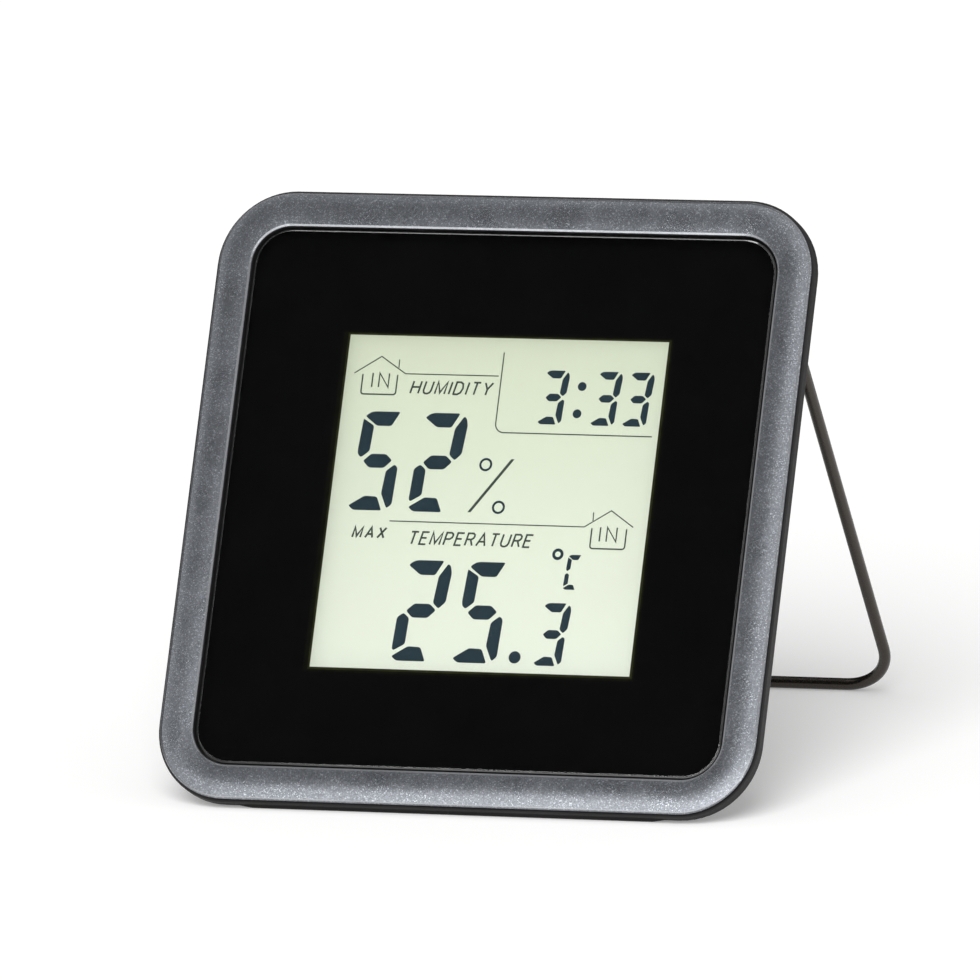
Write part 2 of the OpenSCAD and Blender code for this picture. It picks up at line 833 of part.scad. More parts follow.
module clock_crystal() {
    color(STEEL)
        translate([CRYSTAL_AT[0], CRYSTAL_AT[1], -board_back_d - can_r - play / 2])
            rotate([0, 90, 0])
                cylinder(r = can_r, h = can_l, center = true);
}

module chip_capacitors() {
    color([0.72, 0.60, 0.45])
        for (i = [0 : 3])
            translate([CAPACITOR_AT[0] + (i - 1.5) * capacitor_pitch, CAPACITOR_AT[1], 0])
                layer(board_back_d, board_back_d + capacitor_h)
                    square([capacitor_l, capacitor_w], center = true);
}

module humidity_sensor() {
    color([0.90, 0.90, 0.86])
        translate([SENSOR_AT[0], SENSOR_AT[1], 0])
            difference() {
                layer(board_back_d, board_back_d + sensor_t)
                    square([sensor_w, sensor_h], center = true);
                rod(port_r, board_back_d + sensor_t / 2, board_back_d + sensor_t + cut);
            }
}

module thermistor() {
    color([0.08, 0.08, 0.09])
        translate([THERMISTOR_AT[0], THERMISTOR_AT[1], 0]) {
            translate([0, 0, -board_back_d - bead_leg_l])
                sphere(bead_r);
            for (s = [-1, 1])
                translate([s * bead_r / 2, 0, 0])
                    rod(bead_leg_r, board_back_d, board_back_d + bead_leg_l);
        }
}

module tact_switches() {
    color([0.12, 0.12, 0.12])
        for (x = BUTTON_X)
            translate([x, button_y, 0])
                difference() {
                    layer(board_back_d, switch_top_d)
                        square([switch_w, switch_w], center = true);
                    rod(plunger_d / 2 + hinge_gap, plunger_foot_d - button_travel - play,
                        switch_top_d + cut);
                }
}

// The moving plunger of one switch
module plunger(i) {
    color([0.75, 0.72, 0.66])
        translate([BUTTON_X[i], button_y, 0])
            rod(plunger_d / 2, plunger_foot_d, plunger_top_d);
}

module plunger_mode() { plunger(0); }
module plunger_up() { plunger(1); }
module plunger_down() { plunger(2); }
module plunger_memory() { plunger(3); }

// One push button: a round head, a retaining flange and a stem down to the plunger
module button(i) {
    head_d = cover_d + button_out;
    color([0.13, 0.13, 0.14])
        translate([BUTTON_X[i], button_y, 0]) {
            rod(button_r, flange_d, head_d - head_round);
            rod(button_r - head_round, flange_d, head_d);
            translate([0, 0, -head_d + head_round])
                rotate_extrude()
                    translate([button_r - head_round, 0])
                        circle(head_round);
            rod(button_r + flange_w, flange_d, flange_d + flange_t);
            rod(stem_r, plunger_top_d + plunger_gap, flange_d + cut);
        }
}

module button_mode() { button(0); }
module button_up() { button(1); }
module button_down() { button(2); }
module button_memory() { button(3); }

// A cross-head screw whose head sits on a seat and whose shank runs towards the front
module screw(r, head_r, head_h, length, seat_d) {
    slot_w = head_r * 0.3;
    slot_l = head_r * 1.3;
    difference() {
        union() {
            rod(head_r, seat_d, seat_d + head_h);
            rod(r, seat_d - length, seat_d + cut);
        }
        for (turn = [0, 90])
            rotate([0, 0, turn])
                block(-slot_l / 2, slot_l / 2, -slot_w / 2, slot_w / 2,
                      seat_d + head_h / 2, seat_d + head_h + cut);
    }
}

module inner_screws() {
    color(STEEL) {
        at_board_screws()
            screw(pin_screw_r, pin_head_r, pin_head_h, board_back_d - case_back_d - 2 * play, board_back_d);
        at_ear_screws()
            screw(pin_screw_r, pin_head_r, pin_head_h, board_d - case_back_d - 2 * play, board_d);
    }
}

module case_screws() {
    color(STEEL)
        for (p = BOSSES)
            translate([p[0], p[1], 0])
                screw(screw_r, screw_head_r, screw_head_h, screw_l, screw_seat_d);
}

// Outer form of the rear cover
module cover_form() {
    inner_w = cover_w - 2 * cover_edge_r;
    inner_h = cover_h - 2 * cover_edge_r;
    translate([0, cover_y, 0]) {
        layer(case_back_d, cover_d - cover_edge_r)
            rounded_rect(cover_w, cover_h, cover_r);
        layer(case_back_d, cover_d)
            rounded_rect(inner_w, inner_h, cover_r - cover_edge_r);
        carried_round(cover_w, cover_h, cover_r)
            translate([cover_edge_r, -cover_d + cover_edge_r])
                circle(cover_edge_r);
    }
}

// Puts a piece of the stand at its hinge, opened
module at_hinge() {
    translate([0, hinge_y, -hinge_d])
        rotate([stand_angle, 0, 0])
            children();
}

// Stop that an opened leg comes to rest on
module leg_stop(s) {
    root = cover_w / 2 - cover_wall / 2;
    reach = leg_x + wire_r / 2 - root;
    at_hinge()
        translate([s * (root + reach / 2), -stop_at - stop_l / 2, -wire_r - stop_gap - stop_t / 2])
            cube([reach, stop_l, stop_t], center = true);
}

// Walls of the battery pocket and the ledge that the door rests on
module pocket_walls() {
    translate([0, pocket_y, 0]) {
        layer(pocket_floor_d - pocket_wall, cover_in_d + cut)
            square([pocket_w + 2 * pocket_wall, pocket_h + 2 * pocket_wall], center = true);
        layer(door_d - ledge_t, cover_in_d + cut)
            square([pocket_w + 2 * door_lip + 2 * pocket_wall, pocket_h + 2 * door_lip + 2 * pocket_wall],
                   center = true);
    }
}

// Room that the door and its two tabs need in the cover
module door_room() {
    translate([0, pocket_y, 0]) {
        layer(pocket_floor_d, cover_d + cut)
            square([pocket_w, pocket_h], center = true);
        layer(door_d, cover_d + cut)
            square([pocket_w + 2 * door_lip, pocket_h + 2 * door_lip], center = true);
    }
    for (s = [-1, 1])
        tab_slot(s * tab_x);
}

// Slot that one tab of the door hooks into and turns in
module tab_slot(x) {
    half_w = tab_w / 2 + play;
    block(x - half_w, x + half_w, door_bottom - tab_reach - 2 * play, pocket_y,
          tab_d - 2 * play, cover_in_d);
    block(x - half_w, x + half_w, door_bottom - play, pocket_y, tab_d - 2 * play, door_d + cut);
}

// Half-round dish above the door for a fingertip
module finger_dish() {
    translate([0, pocket_y + pocket_h / 2 + door_lip, 0])
        rod(dish_r, cover_d - dish_t, cover_d + cut);
}

module keyhole() {
    key_y = cover_top - key_drop;
    layer(cover_in_d - cut, cover_d + cut)
        translate([0, key_y]) {
            circle(key_r);
            translate([-key_slot_r, 0])
                square([2 * key_slot_r, key_slot_l]);
            translate([0, key_slot_l])
                circle(key_slot_r);
        }
}

module vents() {
    layer(cover_in_d - cut, cover_d + cut)
        for (i = [0 : vent_count - 1])
            translate([vent_x + (i - (vent_count - 1) / 2) * vent_pitch, SENSOR_AT[1]])
                slot_outline(vent_w, vent_l);
}

// Slots that pass the contact tails out of the pocket
module tail_slots() {
    for (y = CELL_Y)
        block(pocket_w / 2 - cut, pocket_w / 2 + pocket_wall + cut,
              y - tail_w / 2 - play, y + tail_w / 2 + play,
              tail_d - play, tail_d + contact_t + play);
}

module rear_cover() {
    color(CASE_GREY)
        difference() {
            union() {
                difference() {
                    cover_form();
                    translate([0, cover_y, 0])
                        layer(case_back_d - cut, cover_in_d)
                            rounded_rect(cover_w - 2 * cover_wall, cover_h - 2 * cover_wall,
                                         cover_r - cover_wall);
                }
                for (s = [-1, 1]) {
                    leg_stop(s);
                    translate([s * (cover_w / 2 - cover_wall / 2), hinge_y, -hinge_d])
                        rotate([0, -90 * s, 0])
                            cylinder(r = hinge_boss_r, h = hinge_boss_l + cover_wall / 2);
                }
                for (p = BOSSES)
                    translate([p[0], p[1], 0])
                        rod(post_r, boss_top_d, cover_in_d + cut);
                pocket_walls();
            }
            for (s = [-1, 1])
                translate([s * (cover_w / 2 + cut), hinge_y, -hinge_d])
                    rotate([0, -90 * s, 0])
                        cylinder(r = wire_r + hinge_gap, h = pin_l + cut + play);
            for (p = BOSSES)
                translate([p[0], p[1], 0]) {
                    rod(screw_head_r + play, screw_seat_d, cover_d + cut);
                    rod(screw_r + play, boss_top_d - cut, screw_seat_d + cut);
                }
            for (x = BUTTON_X)
                translate([x, button_y, 0])
                    rod(button_r + button_gap, cover_in_d - cut, cover_d + cut);
            door_room();
            finger_dish();
            keyhole();
            vents();
            tail_slots();
        }
}

// One cell lying along the panel, its button to the right (s = 1) or left
module cell(y, s) {
    translate([-s * cell_l / 2, y, -cell_axis_d])
        rotate([0, 90 * s, 0]) {
            cylinder(r = cell_d / 2, h = cell_l - nub_l);
            cylinder(r = nub_r, h = cell_l);
        }
}

module battery_upper() {
    color([0.55, 0.42, 0.20])
        cell(CELL_Y[1], 1);
}

module battery_lower() {
    color([0.55, 0.42, 0.20])
        cell(CELL_Y[0], -1);
}

// A flat contact on the end wall (s = 1 right, -1 left) with a bump that reaches a cell's button
module flat_contact(y, s) {
    block(s > 0 ? pocket_w / 2 - contact_t : -pocket_w / 2,
          s > 0 ? pocket_w / 2 : -pocket_w / 2 + contact_t,
          y - contact_h / 2, y + contact_h / 2, tail_d, cell_axis_d + contact_h / 2);
    translate([s * (pocket_w / 2 - contact_t / 2), y, -cell_axis_d])
        rotate([0, -90 * s, 0])
            cylinder(r = bump_r, h = contact_room - contact_t / 2 - play / 2);
}

// A sprung contact: the same plate with a bent tongue that reaches a cell's flat end
module sprung_contact(y, s) {
    wall_x = pocket_w / 2;
    tip = contact_room - play / 2;
    block(s > 0 ? wall_x - contact_t : -wall_x, s > 0 ? wall_x : -wall_x + contact_t,
          y - contact_h / 2, y + contact_h / 2, tail_d, cell_axis_d + contact_h / 2);
    translate([s * wall_x, y, -cell_axis_d])
        mirror([s > 0 ? 0 : 1, 0, 0])
            rotate([90, 0, 0])
                linear_extrude(tongue_w, center = true)
                    polygon([
                        [-contact_t / 2, -contact_h / 2], [-tip, -contact_t], [-tip, contact_t],
                        [-contact_t / 2, contact_h / 2 - tongue_foot],
                        [-contact_t / 2, contact_h / 2 - 2 * tongue_foot],
                        [-tip + contact_t * 1.5, 0], [-contact_t / 2, -contact_h / 2 + tongue_foot]
                    ]);
}

// Tail of a contact, out through the pocket's right wall
module contact_tail(y) {
    block(pocket_w / 2 - contact_t, pocket_w / 2 + pocket_wall + tail_out,
          y - tail_w / 2, y + tail_w / 2, tail_d, tail_d + contact_t);
}

module contact_positive() {
    color(STEEL) {
        flat_contact(CELL_Y[1], 1);
        contact_tail(CELL_Y[1]);
    }
}

module contact_negative() {
    color(STEEL) {
        sprung_contact(CELL_Y[0], 1);
        contact_tail(CELL_Y[0]);
    }
}

module contact_link() {
    color(STEEL) {
        sprung_contact(CELL_Y[1], -1);
        flat_contact(CELL_Y[0], -1);
        block(-pocket_w / 2, -pocket_w / 2 + contact_t, CELL_Y[0], CELL_Y[1],
              cell_axis_d - link_w / 2, cell_axis_d + link_w / 2);
    }
}

// Two insulated leads from the contact tails up to the board
module battery_leads() {
    run_d = tail_d + contact_t + lead_r;
    color([0.60, 0.10, 0.08])
        for (i = [0, 1]) {
            lead_x = pocket_w / 2 + pocket_wall + lead_r + play + i * (2 * lead_r + play);
            top_y = board_top - board_h + lead_up;
            translate([lead_x, CELL_Y[1 - i] - tail_w / 2, -run_d])
                rotate([-90, 0, 0])
                    cylinder(r = lead_r, h = top_y - CELL_Y[1 - i] + tail_w / 2);
            translate([lead_x, top_y, -run_d])
                sphere(lead_r);
            translate([lead_x, top_y, 0])
                rod(lead_r, board_back_d, run_d);
        }
}

module battery_door() {
    color(CASE_GREY) {
        difference() {
            translate([0, pocket_y, 0])
                layer(door_d, cover_d)
                    square([door_w, door_h], center = true);
            for (i = [0 : 2])
                block(-grip_l / 2, grip_l / 2,
                      pocket_y + door_h / 2 - grip_drop - i * grip_pitch - grip_w,
                      pocket_y + door_h / 2 - grip_drop - i * grip_pitch,
                      cover_d - grip_t, cover_d + cut);
        }
        for (s = [-1, 1]) {
            block(s * tab_x - tab_w / 2, s * tab_x + tab_w / 2,
                  door_bottom, door_bottom + door_lip, tab_d, door_d + cut);
            block(s * tab_x - tab_w / 2, s * tab_x + tab_w / 2,
                  door_bottom - tab_reach, door_bottom + door_lip, tab_d, tab_d + tab_t);
        }
    }
}

// The bent wire in one plane: the hinge along x, the legs running down y to the bar
module wire_form() {
    bend_x = leg_x - bar_bend_r;
    eye_x = leg_x - eye_bend_r;
    for (s = [-1, 1]) {
        translate([s * pin_in_x, 0, 0])
            rotate([0, 90 * s, 0])
                cylinder(r = wire_r, h = eye_x - pin_in_x);
        translate([s * eye_x, -eye_bend_r, 0])
            rotate([0, 0, s > 0 ? 0 : 90])
                rotate_extrude(angle = 90)
                    translate([eye_bend_r, 0])
                        circle(wire_r);
        translate([s * leg_x, -eye_bend_r, 0])
            rotate([90, 0, 0])
                cylinder(r = wire_r, h = leg_l - eye_bend_r - bar_bend_r);
        translate([s * bend_x, -leg_l + bar_bend_r, 0])
            rotate([0, 0, s > 0 ? -90 : 180])
                rotate_extrude(angle = 90)
                    translate([bar_bend_r, 0])
                        circle(wire_r);
    }
    translate([-bend_x, -leg_l, 0])
        rotate([0, 90, 0])
            cylinder(r = wire_r, h = 2 * bend_x);
}

module wire_stand() {
    color([0.11, 0.11, 0.12])
        at_hinge()
            wire_form();
}

placed() trim_frame();
placed() front_case();
placed() display_lens();
placed() lens_mask();
placed() lens_tape();
placed() lcd_gasket();
placed() front_polarizer();
placed() lcd_front_glass();
placed() lcd_rear_glass();
placed() reflector_film();
placed() lcd_holder();
placed() zebra_strip();
placed() main_board();
placed() chip_blob();
placed() clock_crystal();
placed() chip_capacitors();
placed() humidity_sensor();
placed() thermistor();
placed() tact_switches();
placed() plunger_mode();
placed() plunger_up();
placed() plunger_down();
placed() plunger_memory();
placed() button_mode();
placed() button_up();
placed() button_down();
placed() button_memory();
placed() inner_screws();
placed() rear_cover();
placed() case_screws();
placed() battery_upper();
placed() battery_lower();
placed() contact_link();
placed() contact_positive();
placed() contact_negative();
placed() battery_leads();
placed() battery_door();
placed() wire_stand();
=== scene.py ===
import json
import math

import bmesh
import bpy
from mathutils import Matrix, Vector


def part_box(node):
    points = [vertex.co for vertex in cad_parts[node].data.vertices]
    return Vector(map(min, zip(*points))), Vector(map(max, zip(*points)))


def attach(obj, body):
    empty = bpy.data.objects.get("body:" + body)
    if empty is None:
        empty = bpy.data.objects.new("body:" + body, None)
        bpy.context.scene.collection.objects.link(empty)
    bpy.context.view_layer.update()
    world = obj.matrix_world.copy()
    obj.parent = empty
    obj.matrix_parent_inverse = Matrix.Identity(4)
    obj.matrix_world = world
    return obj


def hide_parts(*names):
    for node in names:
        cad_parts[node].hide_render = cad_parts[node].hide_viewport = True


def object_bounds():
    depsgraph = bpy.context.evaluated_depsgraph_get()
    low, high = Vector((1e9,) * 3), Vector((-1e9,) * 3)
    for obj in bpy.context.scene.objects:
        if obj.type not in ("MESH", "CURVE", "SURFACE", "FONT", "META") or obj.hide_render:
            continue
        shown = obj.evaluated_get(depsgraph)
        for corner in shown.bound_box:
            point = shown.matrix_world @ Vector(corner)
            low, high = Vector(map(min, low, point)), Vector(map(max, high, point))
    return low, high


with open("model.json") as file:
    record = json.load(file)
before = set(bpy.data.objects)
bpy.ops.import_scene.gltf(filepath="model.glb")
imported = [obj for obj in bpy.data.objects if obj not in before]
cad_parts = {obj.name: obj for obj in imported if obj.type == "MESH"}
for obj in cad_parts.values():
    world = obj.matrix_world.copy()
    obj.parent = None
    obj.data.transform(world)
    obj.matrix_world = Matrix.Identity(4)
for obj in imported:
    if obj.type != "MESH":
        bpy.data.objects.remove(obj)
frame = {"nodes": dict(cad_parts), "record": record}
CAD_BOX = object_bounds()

MM = 0.001
NODES = frame["nodes"]
scene = bpy.context.scene
scene.view_settings.view_transform = "Standard"

# The panel's own axes: right, up the panel and out of its front, from the press of a button
RIGHT = Vector((1.0, 0.0, 0.0))
OUT = Vector(next(j["axis"] for j in frame["record"]["behaviour"]["joints"] if j["name"] == "press_mode"))
UP = OUT.cross(RIGHT)


def face_plane(node, side):
    """A function from (x, y, height) in millimetres to a point on a node's front (side 1) or back (-1)."""
    low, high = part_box("front_polarizer")
    middle = (Vector(low) + Vector(high)) / 2
    reach = max((side * OUT).dot(v.co) for v in NODES[node].data.vertices)
    base = middle + side * OUT * (reach - (side * OUT).dot(middle))

    def place(x, y, height=0.0):
        return base + MM * (x * RIGHT + y * UP + height * side * OUT)

    return place


def new_object(bm, name, material):
    """An object in the scene, made from a finished bmesh."""
    mesh = bpy.data.meshes.new(name)
    bm.to_mesh(mesh)
    bm.free()
    mesh.materials.append(material)
    piece = bpy.data.objects.new(name, mesh)
    scene.collection.objects.link(piece)
    return piece


# Materials
def new_material(name, **sockets):
    """A material with a Principled shader and the given constant values on its sockets."""
    material = bpy.data.materials.new(name)
    material.use_nodes = True
    bsdf = material.node_tree.nodes["Principled BSDF"]
    for socket, value in sockets.items():
        bsdf.inputs[socket.replace("_", " ")].default_value = value
    return material, material.node_tree, bsdf


def grey(value):
    return (value, value, value, 1.0)


def tint(colour, factor):
    return tuple(min(1.0, c * factor) for c in colour[:3]) + (1.0,)


def add(tree, kind, **values):
    """A new shader node with the given properties and socket values."""
    node = tree.nodes.new(kind)
    for key, value in values.items():
        if hasattr(node, key):
            setattr(node, key, value)
        else:
            node.inputs[key.replace("_", " ")].default_value = value
    return node


def ramp(tree, source, stops):
    """A colour ramp of (position, colour) stops, driven by a node's output."""
    node = tree.nodes.new("ShaderNodeValToRGB")
    elements = node.color_ramp.elements
    while len(elements) < len(stops):
        elements.new(0.5)
    for element, (position, colour) in zip(elements, stops):
        element.position = position
        element.color = colour
    tree.links.new(source, node.inputs["Fac"])
    return node


def noise(tree, place, size, detail=2.0):
    """A noise whose features are about the given size in millimetres."""
    node = add(tree, "ShaderNodeTexNoise", Scale=1.0 / (size * MM), Detail=detail)
    tree.links.new(place, node.inputs["Vector"])
    return node.outputs["Fac"]


def object_place(tree):
    return tree.nodes.new("ShaderNodeTexCoord").outputs["Object"]


GLOSS_SPREAD = 0.06


def moulded(name, colour, rough, grain=0.25, depth=0.01, patch=9.0, spread=0.10, **sockets):
    """A surface with faint patches of tone, a fine grain and uneven gloss; lengths are in millimetres."""
    material, tree, bsdf = new_material(name, **sockets)
    place = object_place(tree)
    patches = noise(tree, place, patch, 3.0)
    tone = ramp(tree, patches, [(0.3, tint(colour, 1 - spread)), (0.7, tint(colour, 1 + spread))])
    tree.links.new(tone.outputs["Color"], bsdf.inputs["Base Color"])
    fine = noise(tree, place, grain)
    gloss = ramp(tree, fine, [(0.3, grey(rough - GLOSS_SPREAD)), (0.7, grey(rough + GLOSS_SPREAD))])
    tree.links.new(gloss.outputs["Color"], bsdf.inputs["Roughness"])
    bump = add(tree, "ShaderNodeBump", Strength=1.0, Distance=depth * MM)
    tree.links.new(fine, bump.inputs["Height"])
    tree.links.new(bump.outputs["Normal"], bsdf.inputs["Normal"])
    return material


FLAKE_CLOUD = 6.0
FLAKE_GLOSS_SPREAD = 0.04


def flake_lacquer(name, dark, light, flake, tilt, rough):
    """Metallic lacquer: small flakes, each with its own brightness and its own lean."""
    material, tree, bsdf = new_material(name, Metallic=0.75, Coat_Weight=0.35, Coat_Roughness=0.12)
    place = object_place(tree)
    cells = add(tree, "ShaderNodeTexVoronoi", Scale=1.0 / (flake * MM), Randomness=1.0)
    tree.links.new(place, cells.inputs["Vector"])
    parts = tree.nodes.new("ShaderNodeSeparateColor")
    tree.links.new(cells.outputs["Color"], parts.inputs["Color"])
    tone = ramp(tree, parts.outputs["Red"],
                [(0.0, tint(dark, 0.75)), (0.55, dark), (0.88, light), (1.0, tint(light, 1.9))])
    tree.links.new(tone.outputs["Color"], bsdf.inputs["Base Color"])
    cloud = noise(tree, place, FLAKE_CLOUD, 3.0)
    gloss = ramp(tree, cloud,
                 [(0.3, grey(rough - FLAKE_GLOSS_SPREAD)), (0.7, grey(rough + FLAKE_GLOSS_SPREAD))])
    tree.links.new(gloss.outputs["Color"], bsdf.inputs["Roughness"])
    lean = add(tree, "ShaderNodeVectorMath", operation="SUBTRACT")
    lean.inputs[1].default_value = (0.5, 0.5, 0.5)
    tree.links.new(cells.outputs["Color"], lean.inputs[0])
    scaled = add(tree, "ShaderNodeVectorMath", operation="SCALE")
    scaled.inputs["Scale"].default_value = tilt
    tree.links.new(lean.outputs["Vector"], scaled.inputs[0])
    surface = tree.nodes.new("ShaderNodeNewGeometry")
    total = add(tree, "ShaderNodeVectorMath", operation="ADD")
    tree.links.new(surface.outputs["Normal"], total.inputs[0])
    tree.links.new(scaled.outputs["Vector"], total.inputs[1])
    unit = add(tree, "ShaderNodeVectorMath", operation="NORMALIZE")
    tree.links.new(total.outputs["Vector"], unit.inputs[0])
    tree.links.new(unit.outputs["Vector"], bsdf.inputs["Normal"])
    return material


# The display's painted shade and light run along this way in its box, from the first value to the last,
# past the middle tone
PAINTED_SHADE_WAY = (0.1, 0.0, -0.9)
PAINTED_SHADE_FIRST, PAINTED_SHADE_LAST = -0.75, 0.25
PAINTED_SHADE_MIDDLE = 0.36
MOTTLE_SIZE = 0.45
MOTTLE_AMOUNT = 0.3
MOTTLE_GLOSS = 0.05


def display_painted_shade(name, upper, middle, lower, rough):
    """Display background with painted shade and light: darker at its top and lighter towards its foot, as
    light falls on it, under a faint fine mottle.
    """
    material, tree, bsdf = new_material(name, Specular_IOR_Level=0.3)
    across = add(tree, "ShaderNodeVectorMath", operation="DOT_PRODUCT")
    across.inputs[1].default_value = PAINTED_SHADE_WAY
    box_place = tree.nodes.new("ShaderNodeTexCoord").outputs["Generated"]
    tree.links.new(box_place, across.inputs[0])
    mottle = noise(tree, object_place(tree), MOTTLE_SIZE, 3.0)
    uneven = add(tree, "ShaderNodeMath", operation="MULTIPLY_ADD")
    uneven.inputs[1].default_value = MOTTLE_AMOUNT
    tree.links.new(mottle, uneven.inputs[0])
    tree.links.new(across.outputs["Value"], uneven.inputs[2])
    place = add(tree, "ShaderNodeMapRange")
    place.inputs["From Min"].default_value = PAINTED_SHADE_FIRST
    place.inputs["From Max"].default_value = PAINTED_SHADE_LAST
    tree.links.new(uneven.outputs["Value"], place.inputs["Value"])
    tone = ramp(tree, place.outputs["Result"], [(0.0, upper), (PAINTED_SHADE_MIDDLE, middle), (1.0, lower)])
    tree.links.new(tone.outputs["Color"], bsdf.inputs["Base Color"])
    gloss = ramp(tree, mottle, [(0.3, grey(rough - MOTTLE_GLOSS)), (0.7, grey(rough + MOTTLE_GLOSS))])
    tree.links.new(gloss.outputs["Color"], bsdf.inputs["Roughness"])
    return material


CLEAR_CLOUD = 14.0


def clear_plastic(name, colour, rough):
    """Clear polished plastic with faint unevenness in its gloss."""
    material, tree, bsdf = new_material(name, Transmission_Weight=1.0, IOR=1.49, Base_Color=colour)
    cloud = noise(tree, object_place(tree), CLEAR_CLOUD, 3.0)
    gloss = ramp(tree, cloud, [(0.35, grey(0.0)), (0.7, grey(rough))])
    tree.links.new(gloss.outputs["Color"], bsdf.inputs["Roughness"])
    return material


BRUSH_SIZE = 0.12
BRUSH_STRETCH = (0.08, 1.0, 1.0)


def brushed(name, colour, rough):
    """Plated metal with fine drawn lines along x."""
    material, tree, bsdf = new_material(name, Metallic=1.0)
    place = object_place(tree)
    stretch = add(tree, "ShaderNodeMapping")
    stretch.inputs["Scale"].default_value = BRUSH_STRETCH
    tree.links.new(place, stretch.inputs["Vector"])
    lines = noise(tree, stretch.outputs["Vector"], BRUSH_SIZE, 3.0)
    tone = ramp(tree, lines, [(0.3, tint(colour, 0.8)), (0.7, tint(colour, 1.15))])
    tree.links.new(tone.outputs["Color"], bsdf.inputs["Base Color"])
    gloss = ramp(tree, lines, [(0.3, grey(rough - 0.08)), (0.7, grey(rough + 0.1))])
    tree.links.new(gloss.outputs["Color"], bsdf.inputs["Roughness"])
    return material


# A wave texture of scale 1 repeats after this length
WAVE_LENGTH = 0.314


def striped(name, first, second, pitch, rough):
    """Layers of two rubbers across x, as in a connector strip."""
    material, tree, bsdf = new_material(name)
    bands = add(tree, "ShaderNodeTexWave", bands_direction="X", Scale=WAVE_LENGTH / (pitch * MM),
                Distortion=0.4)
    tree.links.new(object_place(tree), bands.inputs["Vector"])
    tone = ramp(tree, bands.outputs["Fac"], [(0.45, first), (0.55, second)])
    tree.links.new(tone.outputs["Color"], bsdf.inputs["Base Color"])
    gloss = ramp(tree, bands.outputs["Fac"], [(0.4, grey(rough)), (0.6, grey(rough + 0.1))])
    tree.links.new(gloss.outputs["Color"], bsdf.inputs["Roughness"])
    return material


TRIM = flake_lacquer("silver_flake", (0.20, 0.213, 0.236, 1.0), (0.26, 0.275, 0.298, 1.0), flake=0.15,
                     tilt=0.026, rough=0.28)
EDGE = moulded("polished_edge", (0.20, 0.206, 0.217, 1.0), 0.20, grain=0.3, depth=0.0005, Metallic=0.8)
LENS_EDGE = moulded("lens_edge_gloss", (0.008, 0.008, 0.008, 1.0), 0.10, grain=0.3, depth=0.0005)
CASE = moulded("charcoal_grain", (0.030, 0.029, 0.029, 1.0), 0.48, grain=0.3, depth=0.012,
               Specular_IOR_Level=0.09)
REAR = moulded("rear_grain", (0.040, 0.039, 0.039, 1.0), 0.40, grain=0.3, depth=0.014,
               Specular_IOR_Level=0.4)
BUTTON = moulded("satin_black", (0.022, 0.022, 0.023, 1.0), 0.38, grain=0.2, depth=0.005)
LENS = clear_plastic("clear_acrylic", (0.97, 0.98, 0.98, 1.0), 0.02)
MASK = moulded("black_print", (0.0036, 0.0036, 0.0037, 1.0), 0.4, grain=0.2, depth=0.001,
               Specular_IOR_Level=0.0)
FOAM = moulded("black_foam", (0.012, 0.012, 0.012, 1.0), 0.85, grain=0.35, depth=0.06)
# The display's colours run from dark at its top to light at its foot: painted shade and light.
PAINTED_SHADE_PANE = display_painted_shade("display_painted_shade", (0.69, 0.75, 0.565, 1.0), (0.74, 0.80, 0.64, 1.0),
                    (0.88, 0.93, 0.80, 1.0), 0.50)
GLASS = clear_plastic("display_glass", (0.86, 0.92, 0.86, 1.0), 0.03)
FILM = moulded("pearl_film", (0.70, 0.76, 0.60, 1.0), 0.35, grain=0.15, depth=0.002, spread=0.03)
WHITE = moulded("natural_white", (0.72, 0.72, 0.68, 1.0), 0.45, grain=0.4, depth=0.008, spread=0.04)
STRIPE = striped("layered_rubber", (0.015, 0.015, 0.016, 1.0), (0.55, 0.52, 0.50, 1.0), 0.2, 0.6)
BOARD = moulded("green_mask", (0.012, 0.10, 0.04, 1.0), 0.35, grain=0.8, depth=0.01, spread=0.2)
EPOXY = moulded("black_epoxy", (0.008, 0.008, 0.009, 1.0), 0.25, grain=1.2, depth=0.02)
STEEL = brushed("nickel_plate", (0.56, 0.55, 0.54, 1.0), 0.30)
CERAMIC = moulded("tan_ceramic", (0.42, 0.30, 0.18, 1.0), 0.4, grain=0.15, depth=0.004)
SWITCH = moulded("black_moulding", (0.016, 0.016, 0.017, 1.0), 0.5, grain=0.3, depth=0.008)
CREAM = moulded("cream_moulding", (0.52, 0.48, 0.40, 1.0), 0.42, grain=0.3, depth=0.006)
JACKET = moulded("cell_jacket", (0.30, 0.20, 0.07, 1.0), 0.28, grain=2.0, depth=0.006, Metallic=0.6)
VINYL = moulded("red_vinyl", (0.36, 0.02, 0.015, 1.0), 0.42, grain=0.3, depth=0.006)
WIRE = moulded("black_wire", (0.009, 0.0075, 0.006, 1.0), 0.26, grain=0.25, depth=0.003,
               Specular_IOR_Level=0.7, Specular_Tint=(1.0, 0.9, 0.8, 1.0))
INK = moulded("display_ink", (0.011, 0.028, 0.040, 1.0), 0.45, grain=0.3, depth=0.001, patch=5.0,
              spread=0.12, Specular_IOR_Level=0.3)
LINE = moulded("line_ink", (0.045, 0.062, 0.050, 1.0), 0.5, grain=0.3, depth=0.001, patch=6.0,
               spread=0.25, Specular_IOR_Level=0.3)
# Dark strips round the display window: painted shade of its recess.
PAINTED_OLIVE_SHADE = moulded("olive_painted_shade", (0.025, 0.027, 0.011, 1.0), 0.4, grain=0.2, depth=0.001, patch=3.0,
                spread=0.25, Specular_IOR_Level=0.0)
PAINTED_FADING_SHADE = moulded("faded_painted_shade", (0.0065, 0.0068, 0.0048, 1.0), 0.4, grain=0.2, depth=0.001, patch=3.0,
               spread=0.25, Specular_IOR_Level=0.0)
MARK = moulded("raised_mark", (0.19, 0.19, 0.19, 1.0), 0.45, grain=0.2, depth=0.004)

